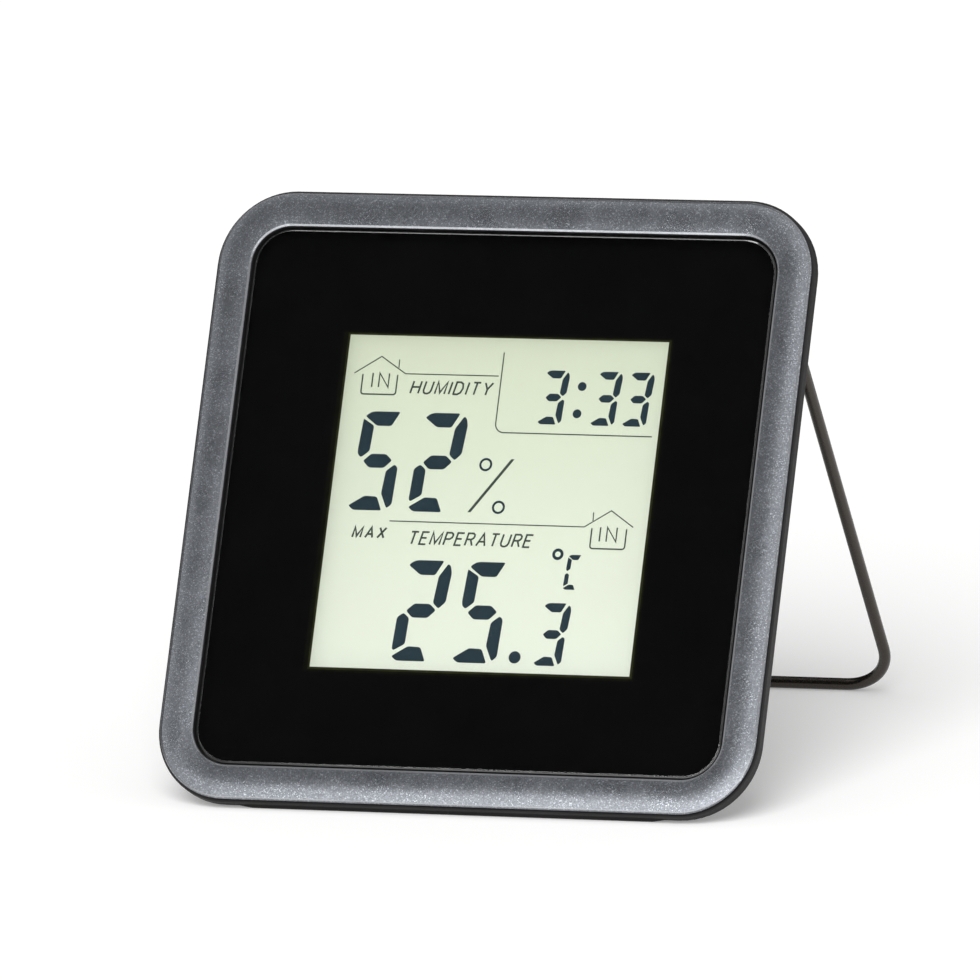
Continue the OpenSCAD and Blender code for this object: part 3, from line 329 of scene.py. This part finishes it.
DRESS = {
    "trim_frame": TRIM, "front_case": CASE, "display_lens": LENS, "lens_mask": MASK, "lens_tape": FOAM,
    "lcd_gasket": FOAM, "front_polarizer": PAINTED_SHADE_PANE, "lcd_front_glass": GLASS, "lcd_rear_glass": GLASS,
    "reflector_film": FILM, "lcd_holder": WHITE, "zebra_strip": STRIPE, "main_board": BOARD,
    "chip_blob": EPOXY, "clock_crystal": STEEL, "chip_capacitors": CERAMIC, "humidity_sensor": WHITE,
    "thermistor": EPOXY, "tact_switches": SWITCH, "inner_screws": STEEL, "rear_cover": REAR,
    "case_screws": STEEL,
    "battery_upper": JACKET, "battery_lower": JACKET, "contact_link": STEEL, "contact_positive": STEEL,
    "contact_negative": STEEL, "battery_leads": VINYL, "battery_door": REAR, "wire_stand": WIRE,
}
for key in ("mode", "up", "down", "memory"):
    DRESS["plunger_" + key] = CREAM
    DRESS["button_" + key] = BUTTON
for name, material in DRESS.items():
    slots = NODES[name].data.materials
    slots.clear()
    slots.append(material)
# Light reaches the display through the lens without the noise of a caustic, and right up to its edges
for name in ("display_lens", "lens_tape", "lcd_gasket"):
    NODES[name].visible_shadow = False
for name in ("lens_tape", "lcd_gasket"):
    NODES[name].visible_diffuse = False


# Flat marks, set out in millimetres
def softened(outline, radius):
    """An outline with each corner cut by a short curve."""
    result = []
    count = len(outline)
    for i, corner in enumerate(outline):
        corner = Vector(corner)
        before = Vector(outline[i - 1]) - corner
        after = Vector(outline[(i + 1) % count]) - corner
        start = corner + before.normalized() * min(radius, before.length * 0.4)
        end = corner + after.normalized() * min(radius, after.length * 0.4)
        for t in (0.0, 0.5, 1.0):
            result.append((1 - t) ** 2 * start + 2 * t * (1 - t) * corner + t * t * end)
    return [tuple(p) for p in result]


def stroke(points, width):
    """The outline of a line of even width along points, with mitred corners."""
    pts = [Vector(p) for p in points]
    left, right = [], []
    for i, p in enumerate(pts):
        into = (p - pts[i - 1]).normalized() if i else None
        onward = (pts[i + 1] - p).normalized() if i + 1 < len(pts) else None
        along = into or onward
        if into and onward:
            along = (into + onward).normalized()
        side = Vector((-along.y, along.x))
        reach = width / 2
        if into and onward:
            reach /= max(0.4, side.dot(Vector((-into.y, into.x))))
        left.append(tuple(p + side * reach))
        right.append(tuple(p - side * reach))
    return left + right[::-1]


def circle(x, y, radius, count=32):
    return [(x + radius * math.cos(2 * math.pi * i / count), y + radius * math.sin(2 * math.pi * i / count))
            for i in range(count)]


def arc(x, y, radius, start, end, count=6):
    turns = [math.radians(start + (end - start) * i / count) for i in range(count + 1)]
    return [(x + radius * math.cos(t), y + radius * math.sin(t)) for t in turns]


def add_prism(bm, outline, place, height):
    """A thin solid over an outline that lies on a plane."""
    low = [bm.verts.new(place(x, y, 0.0)) for x, y in outline]
    high = [bm.verts.new(place(x, y, height)) for x, y in outline]
    bm.faces.new(low[::-1])
    bm.faces.new(high)
    for i in range(len(outline)):
        j = (i + 1) % len(outline)
        bm.faces.new((low[i], low[j], high[j], high[i]))


def add_ring(bm, x, y, outer, inner, place, height):
    """A thin flat ring on a plane."""
    loops = [[bm.verts.new(place(u, v, h)) for u, v in circle(x, y, r)]
             for r, h in ((outer, 0.0), (outer, height), (inner, height), (inner, 0.0))]
    for k in range(4):
        one, two = loops[k], loops[(k + 1) % 4]
        for i in range(len(one)):
            j = (i + 1) % len(one)
            bm.faces.new((one[i], one[j], two[j], two[i]))


def mark_piece(name, outlines, rings, place, height, material, body):
    """One object of thin solids that rides on a body."""
    bm = bmesh.new()
    for outline in outlines:
        add_prism(bm, outline, place, height)
    for ring in rings:
        add_ring(bm, *ring, place, height)
    bmesh.ops.recalc_face_normals(bm, faces=bm.faces)
    piece = new_object(bm, name, material)
    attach(piece, body)
    return piece


# Seven-segment figures, drawn on a cell 9.2 wide and 17.9 high
SEGMENTS = {
    "a": [(1.2, 17.0), (2.1, 17.7), (2.9, 17.9), (7.6, 17.9), (6.2, 15.3), (3.5, 15.3)],
    "b": [(8.4, 17.4), (8.9, 17.0), (9.2, 15.7), (8.7, 10.6), (7.5, 9.4), (6.4, 10.4), (6.9, 15.1)],
    "c": [(7.7, 8.4), (8.3, 7.8), (8.0, 1.2), (7.1, 0.4), (5.8, 3.1), (6.2, 7.2)],
    "d": [(0.0, 0.8), (2.8, 2.6), (5.1, 2.5), (6.2, 0.0), (1.0, 0.0), (0.4, 0.4)],
    "e": [(1.3, 8.5), (2.4, 7.6), (2.2, 3.0), (0.2, 1.8), (-0.1, 2.2), (0.2, 7.7)],
    "f": [(1.0, 16.5), (3.0, 15.3), (2.7, 10.7), (1.2, 9.5), (0.6, 10.1), (0.5, 10.8), (0.9, 16.4)],
    "g": [(1.7, 8.9), (3.1, 10.2), (5.9, 10.2), (7.1, 9.1), (5.7, 7.7), (2.9, 7.7)],
}
LIT = {"2": "abged", "3": "abgcd", "5": "afgcd", "C": "afed"}
SEGMENT_CORNER = 0.35


def figure(sign, x, y, scale):
    """Outlines of one figure with its lower left corner at (x, y)."""
    outlines = []
    for segment in LIT[sign]:
        points = [(x + u * scale, y + v * scale) for u, v in SEGMENTS[segment]]
        outlines.append(softened(points, SEGMENT_CORNER * scale))
    return outlines


# Stroke letters on a cell 1 high: width and lines
LETTERS = {
    "A": (0.72, [[(0, 0), (0.36, 1), (0.72, 0)], [(0.12, 0.34), (0.60, 0.34)]]),
    "D": (0.66, [[(0, 0), (0, 1), (0.34, 1), (0.56, 0.86), (0.66, 0.5), (0.56, 0.14), (0.34, 0),
                  (-0.05, 0)]]),
    "E": (0.54, [[(0.54, 1), (0, 1), (0, 0), (0.54, 0)], [(0, 0.52), (0.46, 0.52)]]),
    "H": (0.66, [[(0, 0), (0, 1)], [(0.66, 0), (0.66, 1)], [(0, 0.52), (0.66, 0.52)]]),
    "I": (0.0, [[(0, 0), (0, 1)]]),
    "M": (0.80, [[(0, 0), (0, 1), (0.40, 0.10), (0.80, 1), (0.80, 0)]]),
    "N": (0.70, [[(0, 0), (0, 1), (0.70, 0), (0.70, 1)]]),
    "O": (0.68, [[(0.30, 0), (0.08, 0.16), (0, 0.5), (0.08, 0.84), (0.34, 1), (0.60, 0.84), (0.68, 0.5),
                  (0.60, 0.16), (0.34, 0), (0.25, 0.02)]]),
    "P": (0.58, [[(0, 0), (0, 1), (0.40, 1), (0.56, 0.88), (0.58, 0.74), (0.54, 0.60), (0.38, 0.48),
                  (0, 0.48)]]),
    "R": (0.60, [[(0, 0), (0, 1), (0.42, 1), (0.57, 0.88), (0.59, 0.75), (0.55, 0.61), (0.40, 0.50),
                  (0, 0.50)],
                 [(0.34, 0.50), (0.60, 0)]]),
    "T": (0.60, [[(0, 1), (0.60, 1)], [(0.30, 1), (0.30, 0)]]),
    "U": (0.64, [[(0, 1), (0, 0.26), (0.08, 0.08), (0.24, 0), (0.40, 0), (0.56, 0.08), (0.64, 0.26),
                  (0.64, 1)]]),
    "X": (0.64, [[(0, 0), (0.64, 1)], [(0, 1), (0.64, 0)]]),
    "Y": (0.64, [[(0, 1), (0.32, 0.46), (0.64, 1)], [(0.32, 0.46), (0.32, 0)]]),
}


def word(text, x, y, cap, length, width, slant):
    """Outlines of a word from (x, y), letters cap high and spaced to fill a length, leaning by slant."""
    letters = [LETTERS[c] for c in text]
    spare = length - cap * sum(w for w, _ in letters)
    gap = spare / max(1, len(text) - 1)
    outlines = []
    for w, lines in letters:
        for line in lines:
            outlines.append(stroke([(x + cap * (u + slant * v), y + cap * v) for u, v in line], width))
        x += cap * w + gap
    return outlines


# Display: figures, units, lines and words, set out from its middle
display = face_plane("front_polarizer", 1)
INK_HEIGHT = 0.02
BIG, BIG_LOW, CLOCK, TENTH, SMALL = 1.0, 1.015, 0.545, 0.63, 0.35
display_marks = []


def add_to_display(name, outlines, rings, material):
    piece = mark_piece(name, outlines, rings, display, INK_HEIGHT, material, "housing")
    display_marks.append(piece)


add_to_display("lcd_humidity", figure("5", -26.8, -1.15, BIG) + figure("2", -15.65, -1.15, BIG),
               [(-2.25, 7.65, 1.2, 0.8), (1.04, 0.02, 1.2, 0.8)], INK)
add_to_display("lcd_slash", [[(-4.6, -1.0), (-4.0, -1.0), (2.95, 8.75), (2.35, 8.75)]], [], LINE)
clock = [f for x in (6.31, 16.1, 21.98) for f in figure("3", x, 15.2, CLOCK)]
add_to_display("lcd_clock", clock + [circle(13.79, 22.19, 0.8), circle(13.44, 17.25, 0.8)], [], INK)
temperature = figure("2", -15.4, -28.05, BIG_LOW) + figure("5", -4.05, -28.05, BIG_LOW)
temperature += figure("3", 10.96, -28.15, TENTH) + figure("C", 14.71, -14.4, SMALL)
add_to_display("lcd_temperature", temperature + [circle(7.38, -26.8, 1.1)], [(13.04, -8.1, 1.04, 0.5)], INK)

# Widths of the display's lines, and the size and lean of its words
THIN, FRAMED, BOXED, LETTERED, LETTERED_SMALL = 0.2, 0.22, 0.27, 0.33, 0.36
WORD_CAP, WORD_LEAN = 2.2, 0.24
SMALL_CAP, SMALL_LEAN = 1.82, 0.22
HOUSE_CAP, HOUSE_LENGTH, HOUSE_CORNER = 2.55, 3.05, 0.5


def house(x, y, box_from, box_to, box_top, box_low):
    """Walls of a house sign with the letters IN inside, its left letter at (x, y)."""
    r = HOUSE_CORNER
    walls = [(box_from, box_top)] + arc(box_from + r, box_low + r, r, 180, 270)
    walls += arc(box_to - r, box_low + r, r, 270, 360) + [(box_to, box_top)]
    return [stroke(walls, BOXED)] + word("IN", x, y, HOUSE_CAP, HOUSE_LENGTH, BOXED, 0.0)


lines = [stroke([(-28.7, 23.6), (-23.96, 26.73), (-19.17, 23.69), (-1.87, 23.69)], THIN)]
lines.append(stroke([(-20.6, 26.25), (-20.55, 24.75)], THIN))
lines.append(stroke([(-1.35, 28.0)] + arc(0.25, 15.1, 1.6, 180, 270) + [(27.7, 13.45)], FRAMED))
lines.append(stroke([(-18.8, -2.97), (17.27, -3.06), (21.94, -0.02), (26.27, -2.9)], THIN))
lines.append(stroke([(18.7, -0.4), (18.75, -1.96)], THIN))
lines += house(-25.2, 21.15, -27.08, -20.6, 23.44, 19.85) + house(20.33, -5.58, 18.73, 25.13, -3.25, -6.9)
add_to_display("lcd_lines", lines, [], LINE)
words = word("HUMIDITY", -17.9, 20.2, WORD_CAP, 14.7, LETTERED, WORD_LEAN)
words += word("TEMPERATURE", -14.9, -7.0, WORD_CAP, 22.5, LETTERED, WORD_LEAN)
words += word("MAX", -25.35, -6.06, SMALL_CAP, 5.8, LETTERED_SMALL, SMALL_LEAN)
add_to_display("lcd_words", words, [], LINE)

# The print sits a few microns inside the lens, as ink does, and its window is trimmed to the display
PRINT_BITE = 0.006
PRINT_LEFT, PRINT_RIGHT, PRINT_LOW, PRINT_TOP = -29.4, 29.8, -30.35, 30.15
WINDOW_REACH = 35.0
window = face_plane("lens_mask", 1)
print_mesh = NODES["lens_mask"].data.copy()
for vertex in print_mesh.vertices:
    offset = (vertex.co - window(0.0, 0.0)) / MM
    x, y = offset.dot(RIGHT), offset.dot(UP)
    if max(abs(x), abs(y)) < WINDOW_REACH:
        vertex.co += ((PRINT_RIGHT if x > 0 else PRINT_LEFT) - x) * MM * RIGHT
        vertex.co += ((PRINT_TOP if y > 0 else PRINT_LOW) - y) * MM * UP
    vertex.co += PRINT_BITE * MM * OUT
lens_print = bpy.data.objects.new("lens_print", print_mesh)
scene.collection.objects.link(lens_print)
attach(lens_print, "housing")
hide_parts("lens_mask")
lens_print.visible_shadow = False
lens_print.visible_diffuse = False


def corners(left, right, low, top):
    return [(left, low), (right, low), (right, top), (left, top)]


def frame_sides(inner, outer):
    """Four strips between two rectangles."""
    return [[outer[i - 1], outer[i], inner[i], inner[i - 1]] for i in range(4)]


# Painted shade round the window: narrow strips on the print for the shaded edge of the display's recess,
# olive next to the display and fading into the print, widest on the left
DISPLAY_EDGE = corners(-29.35, 29.68, -30.22, 29.9)
OLIVE_EDGE = corners(-29.75, 30.15, -30.65, 30.25)
FADE_EDGE = corners(-30.6, 30.5, -31.1, 30.5)
PAINTED_SHADE_HEIGHT = 0.005


def on_print(x, y, height=0.0):
    return window(x, y, height + PRINT_BITE)


for name, inner, outer, material in (("painted_shade_olive", DISPLAY_EDGE, OLIVE_EDGE, PAINTED_OLIVE_SHADE),
                                     ("painted_shade_fade", OLIVE_EDGE, FADE_EDGE, PAINTED_FADING_SHADE)):
    strip = mark_piece(name, frame_sides(inner, outer), [], on_print, PAINTED_SHADE_HEIGHT, material, "housing")
    strip.visible_shadow = False
    strip.visible_diffuse = False

# Polished facets along the edges of trim and lens, as thin rings that sink into their rounding; each
# section gives its corners as the way in from the edge and the height over the face, in millimetres
TRIM_HALF, TRIM_RADIUS, TRIM_BAND, LENS_GAP = 54.9, 13.1, 6.1, 0.45
TRIM_INNER = [(0.04, -0.317), (0.38, -0.207), (0.2, -0.5)]
TRIM_OUTER = [(0.19, -0.269), (0.42, -0.194), (0.25, -0.5)]
LENS_FACET = [(0.0, -0.10), (0.3, -0.02), (0.25, -0.35)]
QUARTERS = [(1, 1), (-1, 1), (-1, -1), (1, -1)]
CORNER_STEPS = 24


def edge_ring(name, node, band, side, section, material):
    """A ring of three-cornered section on an edge that runs a band inside the trim's outline; side is 1 for
    an outer edge and -1 for an inner one."""
    face = face_plane(node, 1)
    half = TRIM_HALF - band
    radius = TRIM_RADIUS - band
    bm = bmesh.new()
    rows = []
    for corner, (across, up) in enumerate(QUARTERS):
        for x, y in arc(0.0, 0.0, 1.0, 90 * corner, 90 * corner + 90, CORNER_STEPS):
            row = []
            for inward, height in section:
                reach = radius - side * inward
                spot = face(across * (half - radius) + reach * x, up * (half - radius) + reach * y, height)
                row.append(bm.verts.new(spot))
            rows.append(row)
    for row, after in zip(rows, rows[1:] + rows[:1]):
        for j in range(3):
            k = (j + 1) % 3
            side_face = bm.faces.new((row[j], after[j], after[k], row[k]))
            side_face.smooth = True
        for one, two in zip(row, after):
            bm.edges.get((one, two)).smooth = False
    bmesh.ops.recalc_face_normals(bm, faces=bm.faces)
    ring = new_object(bm, name, material)
    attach(ring, "housing")
    return ring


edge_rings = [edge_ring("trim_outer_edge", "trim_frame", 0.0, 1, TRIM_OUTER, EDGE),
              edge_ring("trim_inner_edge", "trim_frame", TRIM_BAND, -1, TRIM_INNER, EDGE)]
lens_ring = edge_ring("lens_edge", "display_lens", TRIM_BAND + LENS_GAP, 1, LENS_FACET, LENS_EDGE)

# Back: raised signs over the buttons and on the door
back = face_plane("rear_cover", -1)


def seen_from_behind(outlines):
    return [[(-x, y) for x, y in outline] for outline in outlines]


MARK_HEIGHT = 0.12
SIGN_Y, SIGN_CAP, SIGN_LINE = 12.0, 2.0, 0.35
DOOR_CAP, DOOR_LINE = 2.2, 0.38
signs = word("MODE", 17.6, SIGN_Y, SIGN_CAP, 6.8, SIGN_LINE, 0.0)
signs += word("MEM", -23.6, SIGN_Y, SIGN_CAP, 5.2, SIGN_LINE, 0.0)
signs.append([(6.0, SIGN_Y), (8.0, SIGN_Y), (7.0, SIGN_Y + 1.8)])
signs.append([(-6.0, SIGN_Y + 1.8), (-8.0, SIGN_Y + 1.8), (-7.0, SIGN_Y)])
mark_piece("button_signs", seen_from_behind(signs), [], back, MARK_HEIGHT, MARK, "housing")
door_back = face_plane("battery_door", -1)
opening = word("OPEN", -3.6, -22.6, DOOR_CAP, 7.2, DOOR_LINE, 0.0)
opening.append([(-2.2, -26.0), (2.2, -26.0), (0.0, -29.2)])
mark_piece("door_sign", seen_from_behind(opening), [], door_back, MARK_HEIGHT, MARK, "door")

# Camera at the photograph's viewing angle, far away with a long lens, set out in the panel's own axes
panel = face_plane("trim_frame", 1)
VIEW_POINT = panel(987.82, -702.27, 2588.93)
AIM_POINT = panel(0.959, 1.773, 0.116)
VIEW_ROLL = 6.9546
towards = (VIEW_POINT - AIM_POINT).normalized()


def facing(way, place, roll=0.0):
    """A placing whose z axis points along a direction and whose y axis keeps to the panel's up."""
    across = UP.cross(way).normalized()
    turn = Matrix((across, way.cross(across), way)).transposed().to_4x4()
    return Matrix.Translation(place) @ turn @ Matrix.Rotation(math.radians(roll), 4, "Z")


camera = bpy.data.cameras.new("camera")
camera.lens = 605.32
camera.sensor_width = 36.0
camera.clip_start = 0.05
camera.clip_end = 50.0
camera_object = bpy.data.objects.new("camera", camera)
camera_object.matrix_world = facing(towards, VIEW_POINT, VIEW_ROLL)
scene.collection.objects.link(camera_object)
scene.camera = camera_object

# Studio: pale floor, one soft key light, white surroundings and dark cards for the panel to mirror
FLOOR_SIZE = 12.0
FLOOR_CLOUD = 180.0
FLOOR_TONE = 0.80
FLOOR_GLOW = 0.24


def shown(tree):
    """1 on a ray that shows the surroundings by sight, in a mirror or through glass, else 0."""
    rays = tree.nodes.new("ShaderNodeLightPath")
    total = rays.outputs["Is Camera Ray"]
    for kind in ("Is Glossy Ray", "Is Transmission Ray"):
        larger = add(tree, "ShaderNodeMath", operation="MAXIMUM")
        tree.links.new(total, larger.inputs[0])
        tree.links.new(rays.outputs[kind], larger.inputs[1])
        total = larger.outputs["Value"]
    direct = add(tree, "ShaderNodeMath", operation="LESS_THAN")
    tree.links.new(rays.outputs["Diffuse Depth"], direct.inputs[0])
    direct.inputs[1].default_value = 0.5
    both = add(tree, "ShaderNodeMath", operation="MULTIPLY")
    tree.links.new(total, both.inputs[0])
    tree.links.new(direct.outputs["Value"], both.inputs[1])
    return both.outputs["Value"]


def floor_material():
    """A pale floor that is shown white where nothing shades it."""
    material, tree, bsdf = new_material("pale_floor", Roughness=0.9, Specular_IOR_Level=0.0,
                                        Emission_Color=grey(1.0))
    cloud = noise(tree, object_place(tree), FLOOR_CLOUD)
    tone = ramp(tree, cloud, [(0.2, grey(FLOOR_TONE * 0.99)), (0.8, grey(FLOOR_TONE * 1.01))])
    tree.links.new(tone.outputs["Color"], bsdf.inputs["Base Color"])
    glow = add(tree, "ShaderNodeMath", operation="MULTIPLY")
    glow.inputs[1].default_value = FLOOR_GLOW
    tree.links.new(shown(tree), glow.inputs[0])
    tree.links.new(glow.outputs["Value"], bsdf.inputs["Emission Strength"])
    return material


def direction(azimuth, elevation):
    """Unit vector from the object towards a place round it; azimuth 0 is straight in front."""
    a, e = math.radians(azimuth), math.radians(elevation)
    return Vector((math.sin(a) * math.cos(e), -math.cos(a) * math.cos(e), math.sin(e)))


CENTRE = (CAD_BOX[0] + CAD_BOX[1]) / 2
floor_grid = bmesh.new()
bmesh.ops.create_grid(floor_grid, x_segments=1, y_segments=1, size=FLOOR_SIZE / 2)
floor = new_object(floor_grid, "floor", floor_material())

# Dark cards on a ball round the panel, placed by what the camera sees mirrored in the lens: one fills the
# lens and ends at its right and lower edges, and two more, past a white strip, darken the left and upper
# outlines
CARD_DISTANCE = 0.35
CARD_STEPS = 16
card_frame = facing(2 * towards.dot(OUT) * OUT - towards, AIM_POINT)
card_inverse = card_frame.inverted()


def mirror_angles(point):
    """What the camera sees mirrored at a point of the panel, as angles right and up, in degrees."""
    sight = (VIEW_POINT - point).normalized()
    ray = card_inverse.to_3x3() @ (2 * sight.dot(OUT) * OUT - sight)
    spot = card_inverse @ point + ray * CARD_DISTANCE
    right = math.atan2(spot.x, spot.z)
    up = math.atan2(spot.y, math.hypot(spot.x, spot.z))
    return math.degrees(right), math.degrees(up)


def card(name, left, right, low, high, low_right=None):
    """A dark stage piece on the ball between angles across and up; its lower edge may slope."""
    bm = bmesh.new()
    rows = []
    slope = (low if low_right is None else low_right) - low
    for i in range(CARD_STEPS + 1):
        row = []
        for j in range(CARD_STEPS + 1):
            across = math.radians(left + (right - left) * j / CARD_STEPS)
            foot = low + slope * j / CARD_STEPS
            up = math.radians(foot + (high - foot) * i / CARD_STEPS)
            spot = Vector((math.sin(across) * math.cos(up), math.sin(up), math.cos(across) * math.cos(up)))
            row.append(bm.verts.new(card_frame @ (spot * CARD_DISTANCE)))
        rows.append(row)
    for one, two in zip(rows, rows[1:]):
        for j in range(CARD_STEPS):
            bm.faces.new((one[j], one[j + 1], two[j + 1], two[j]))
    piece = new_object(bm, name, CARD)
    piece.visible_camera = False
    piece.visible_diffuse = False
    piece.visible_shadow = False


CARD = moulded("dark_card", (0.010, 0.010, 0.010, 1.0), 0.9, grain=1.0, depth=0.0)
lens_angles = [mirror_angles(v.co) for v in NODES["display_lens"].data.vertices]
lens_left, lens_right = min(a[0] for a in lens_angles), max(a[0] for a in lens_angles)
lens_low, lens_top = min(a[1] for a in lens_angles), max(a[1] for a in lens_angles)
CARD_EDGE = 1.0
CARD_SIDE = 5.0
CARD_SPARE = 13.0
STRIP = 18.0
LEFT_END, LEFT_LOW, LEFT_HIGH = -150.0, -20.0, 80.0
UPPER_END = 150.0
card("lens_card", lens_left - CARD_SPARE, lens_right + CARD_SIDE, lens_low - CARD_SIDE,
     lens_top + CARD_SPARE, lens_low - CARD_EDGE)
card("left_card", LEFT_END, lens_left - CARD_SPARE - STRIP, LEFT_LOW, LEFT_HIGH)
card("upper_card", lens_left - CARD_SPARE, lens_right + STRIP, lens_top + CARD_SPARE + STRIP, UPPER_END)

# The soft key lights without a mirror image of its own
KEY_ENERGY = 2.4
KEY_SPREAD = 45.0
KEY_WAY = direction(6.0, 48.0)


def soft_sun(name):
    """The key lamp: a sun as wide as a large soft source, hidden from mirrors and glass."""
    light = bpy.data.lights.new(name, "SUN")
    light.energy = KEY_ENERGY
    light.angle = math.radians(KEY_SPREAD)
    lamp = bpy.data.objects.new(name, light)
    lamp.matrix_world = facing(KEY_WAY, CENTRE)
    lamp.visible_glossy = False
    lamp.visible_transmission = False
    scene.collection.objects.link(lamp)
    return lamp


def light_group(name, pieces, state):
    """A collection that a lamp's light is limited to (INCLUDE) or kept from (EXCLUDE)."""
    group = bpy.data.collections.new(name)
    for piece in pieces:
        group.objects.link(piece)
    for entry in group.collection_objects:
        entry.light_linking.link_state = state
    return group


# The display sits behind the window; the same sun reaches it past the window's walls, right up to its edges
on_display = [NODES["front_polarizer"]] + display_marks
key_lamp = soft_sun("key")
key_lamp.light_linking.receiver_collection = light_group("beside_display", on_display, "EXCLUDE")
display_lamp = soft_sun("display_key")
display_lamp.light_linking.receiver_collection = light_group("display_alone", on_display, "INCLUDE")
window_walls = light_group("window_walls", [NODES["front_case"]], "EXCLUDE")
display_lamp.light_linking.blocker_collection = window_walls

BOX_DISTANCE = 1.0


def softbox(name, way, width, height, glow):
    """A lamp that shows in glossy surfaces only, as bright there as glow times white."""
    light = bpy.data.lights.new(name, "AREA")
    light.shape = "RECTANGLE"
    light.size = width
    light.size_y = height
    light.energy = glow * math.pi * width * height
    lamp = bpy.data.objects.new(name, light)
    lamp.matrix_world = facing(way, CENTRE + BOX_DISTANCE * way)
    lamp.visible_camera = False
    lamp.visible_diffuse = False
    lamp.visible_transmission = False
    scene.collection.objects.link(lamp)
    return lamp


# Softboxes draw the highlights: one in front for the whole part, a small low one for the facets of the trim
# alone and one high on the left for the facet of the lens alone
softbox("front_box", direction(15.0, 18.0), width=1.45, height=0.6, glow=2.4)
line_lamp = softbox("line_box", direction(-24.0, 9.0), width=0.5, height=0.3, glow=1.3)
line_lamp.light_linking.receiver_collection = light_group("fine_lines", edge_rings, "INCLUDE")
top_lamp = softbox("top_box", direction(-55.0, 64.0), width=0.5, height=0.5, glow=14.0)
top_lamp.light_linking.receiver_collection = light_group("lens_line", [lens_ring], "INCLUDE")

# The world fills the shadows softly and is shown white
WORLD_FILL = 0.44
world = bpy.data.worlds.new("studio")
world.use_nodes = True
scene.world = world
tree = world.node_tree
fill = tree.nodes["Background"]
fill.inputs["Color"].default_value = (1.0, 0.99, 0.98, 1.0)
fill.inputs["Strength"].default_value = WORLD_FILL
white = add(tree, "ShaderNodeBackground")
white.inputs["Color"].default_value = grey(1.0)
white.inputs["Strength"].default_value = 1.0
mix = tree.nodes.new("ShaderNodeMixShader")
tree.links.new(shown(tree), mix.inputs["Fac"])
tree.links.new(fill.outputs["Background"], mix.inputs[1])
tree.links.new(white.outputs["Background"], mix.inputs[2])
tree.links.new(mix.outputs["Shader"], tree.nodes["World Output"].inputs["Surface"])

bpy.context.view_layer.update()
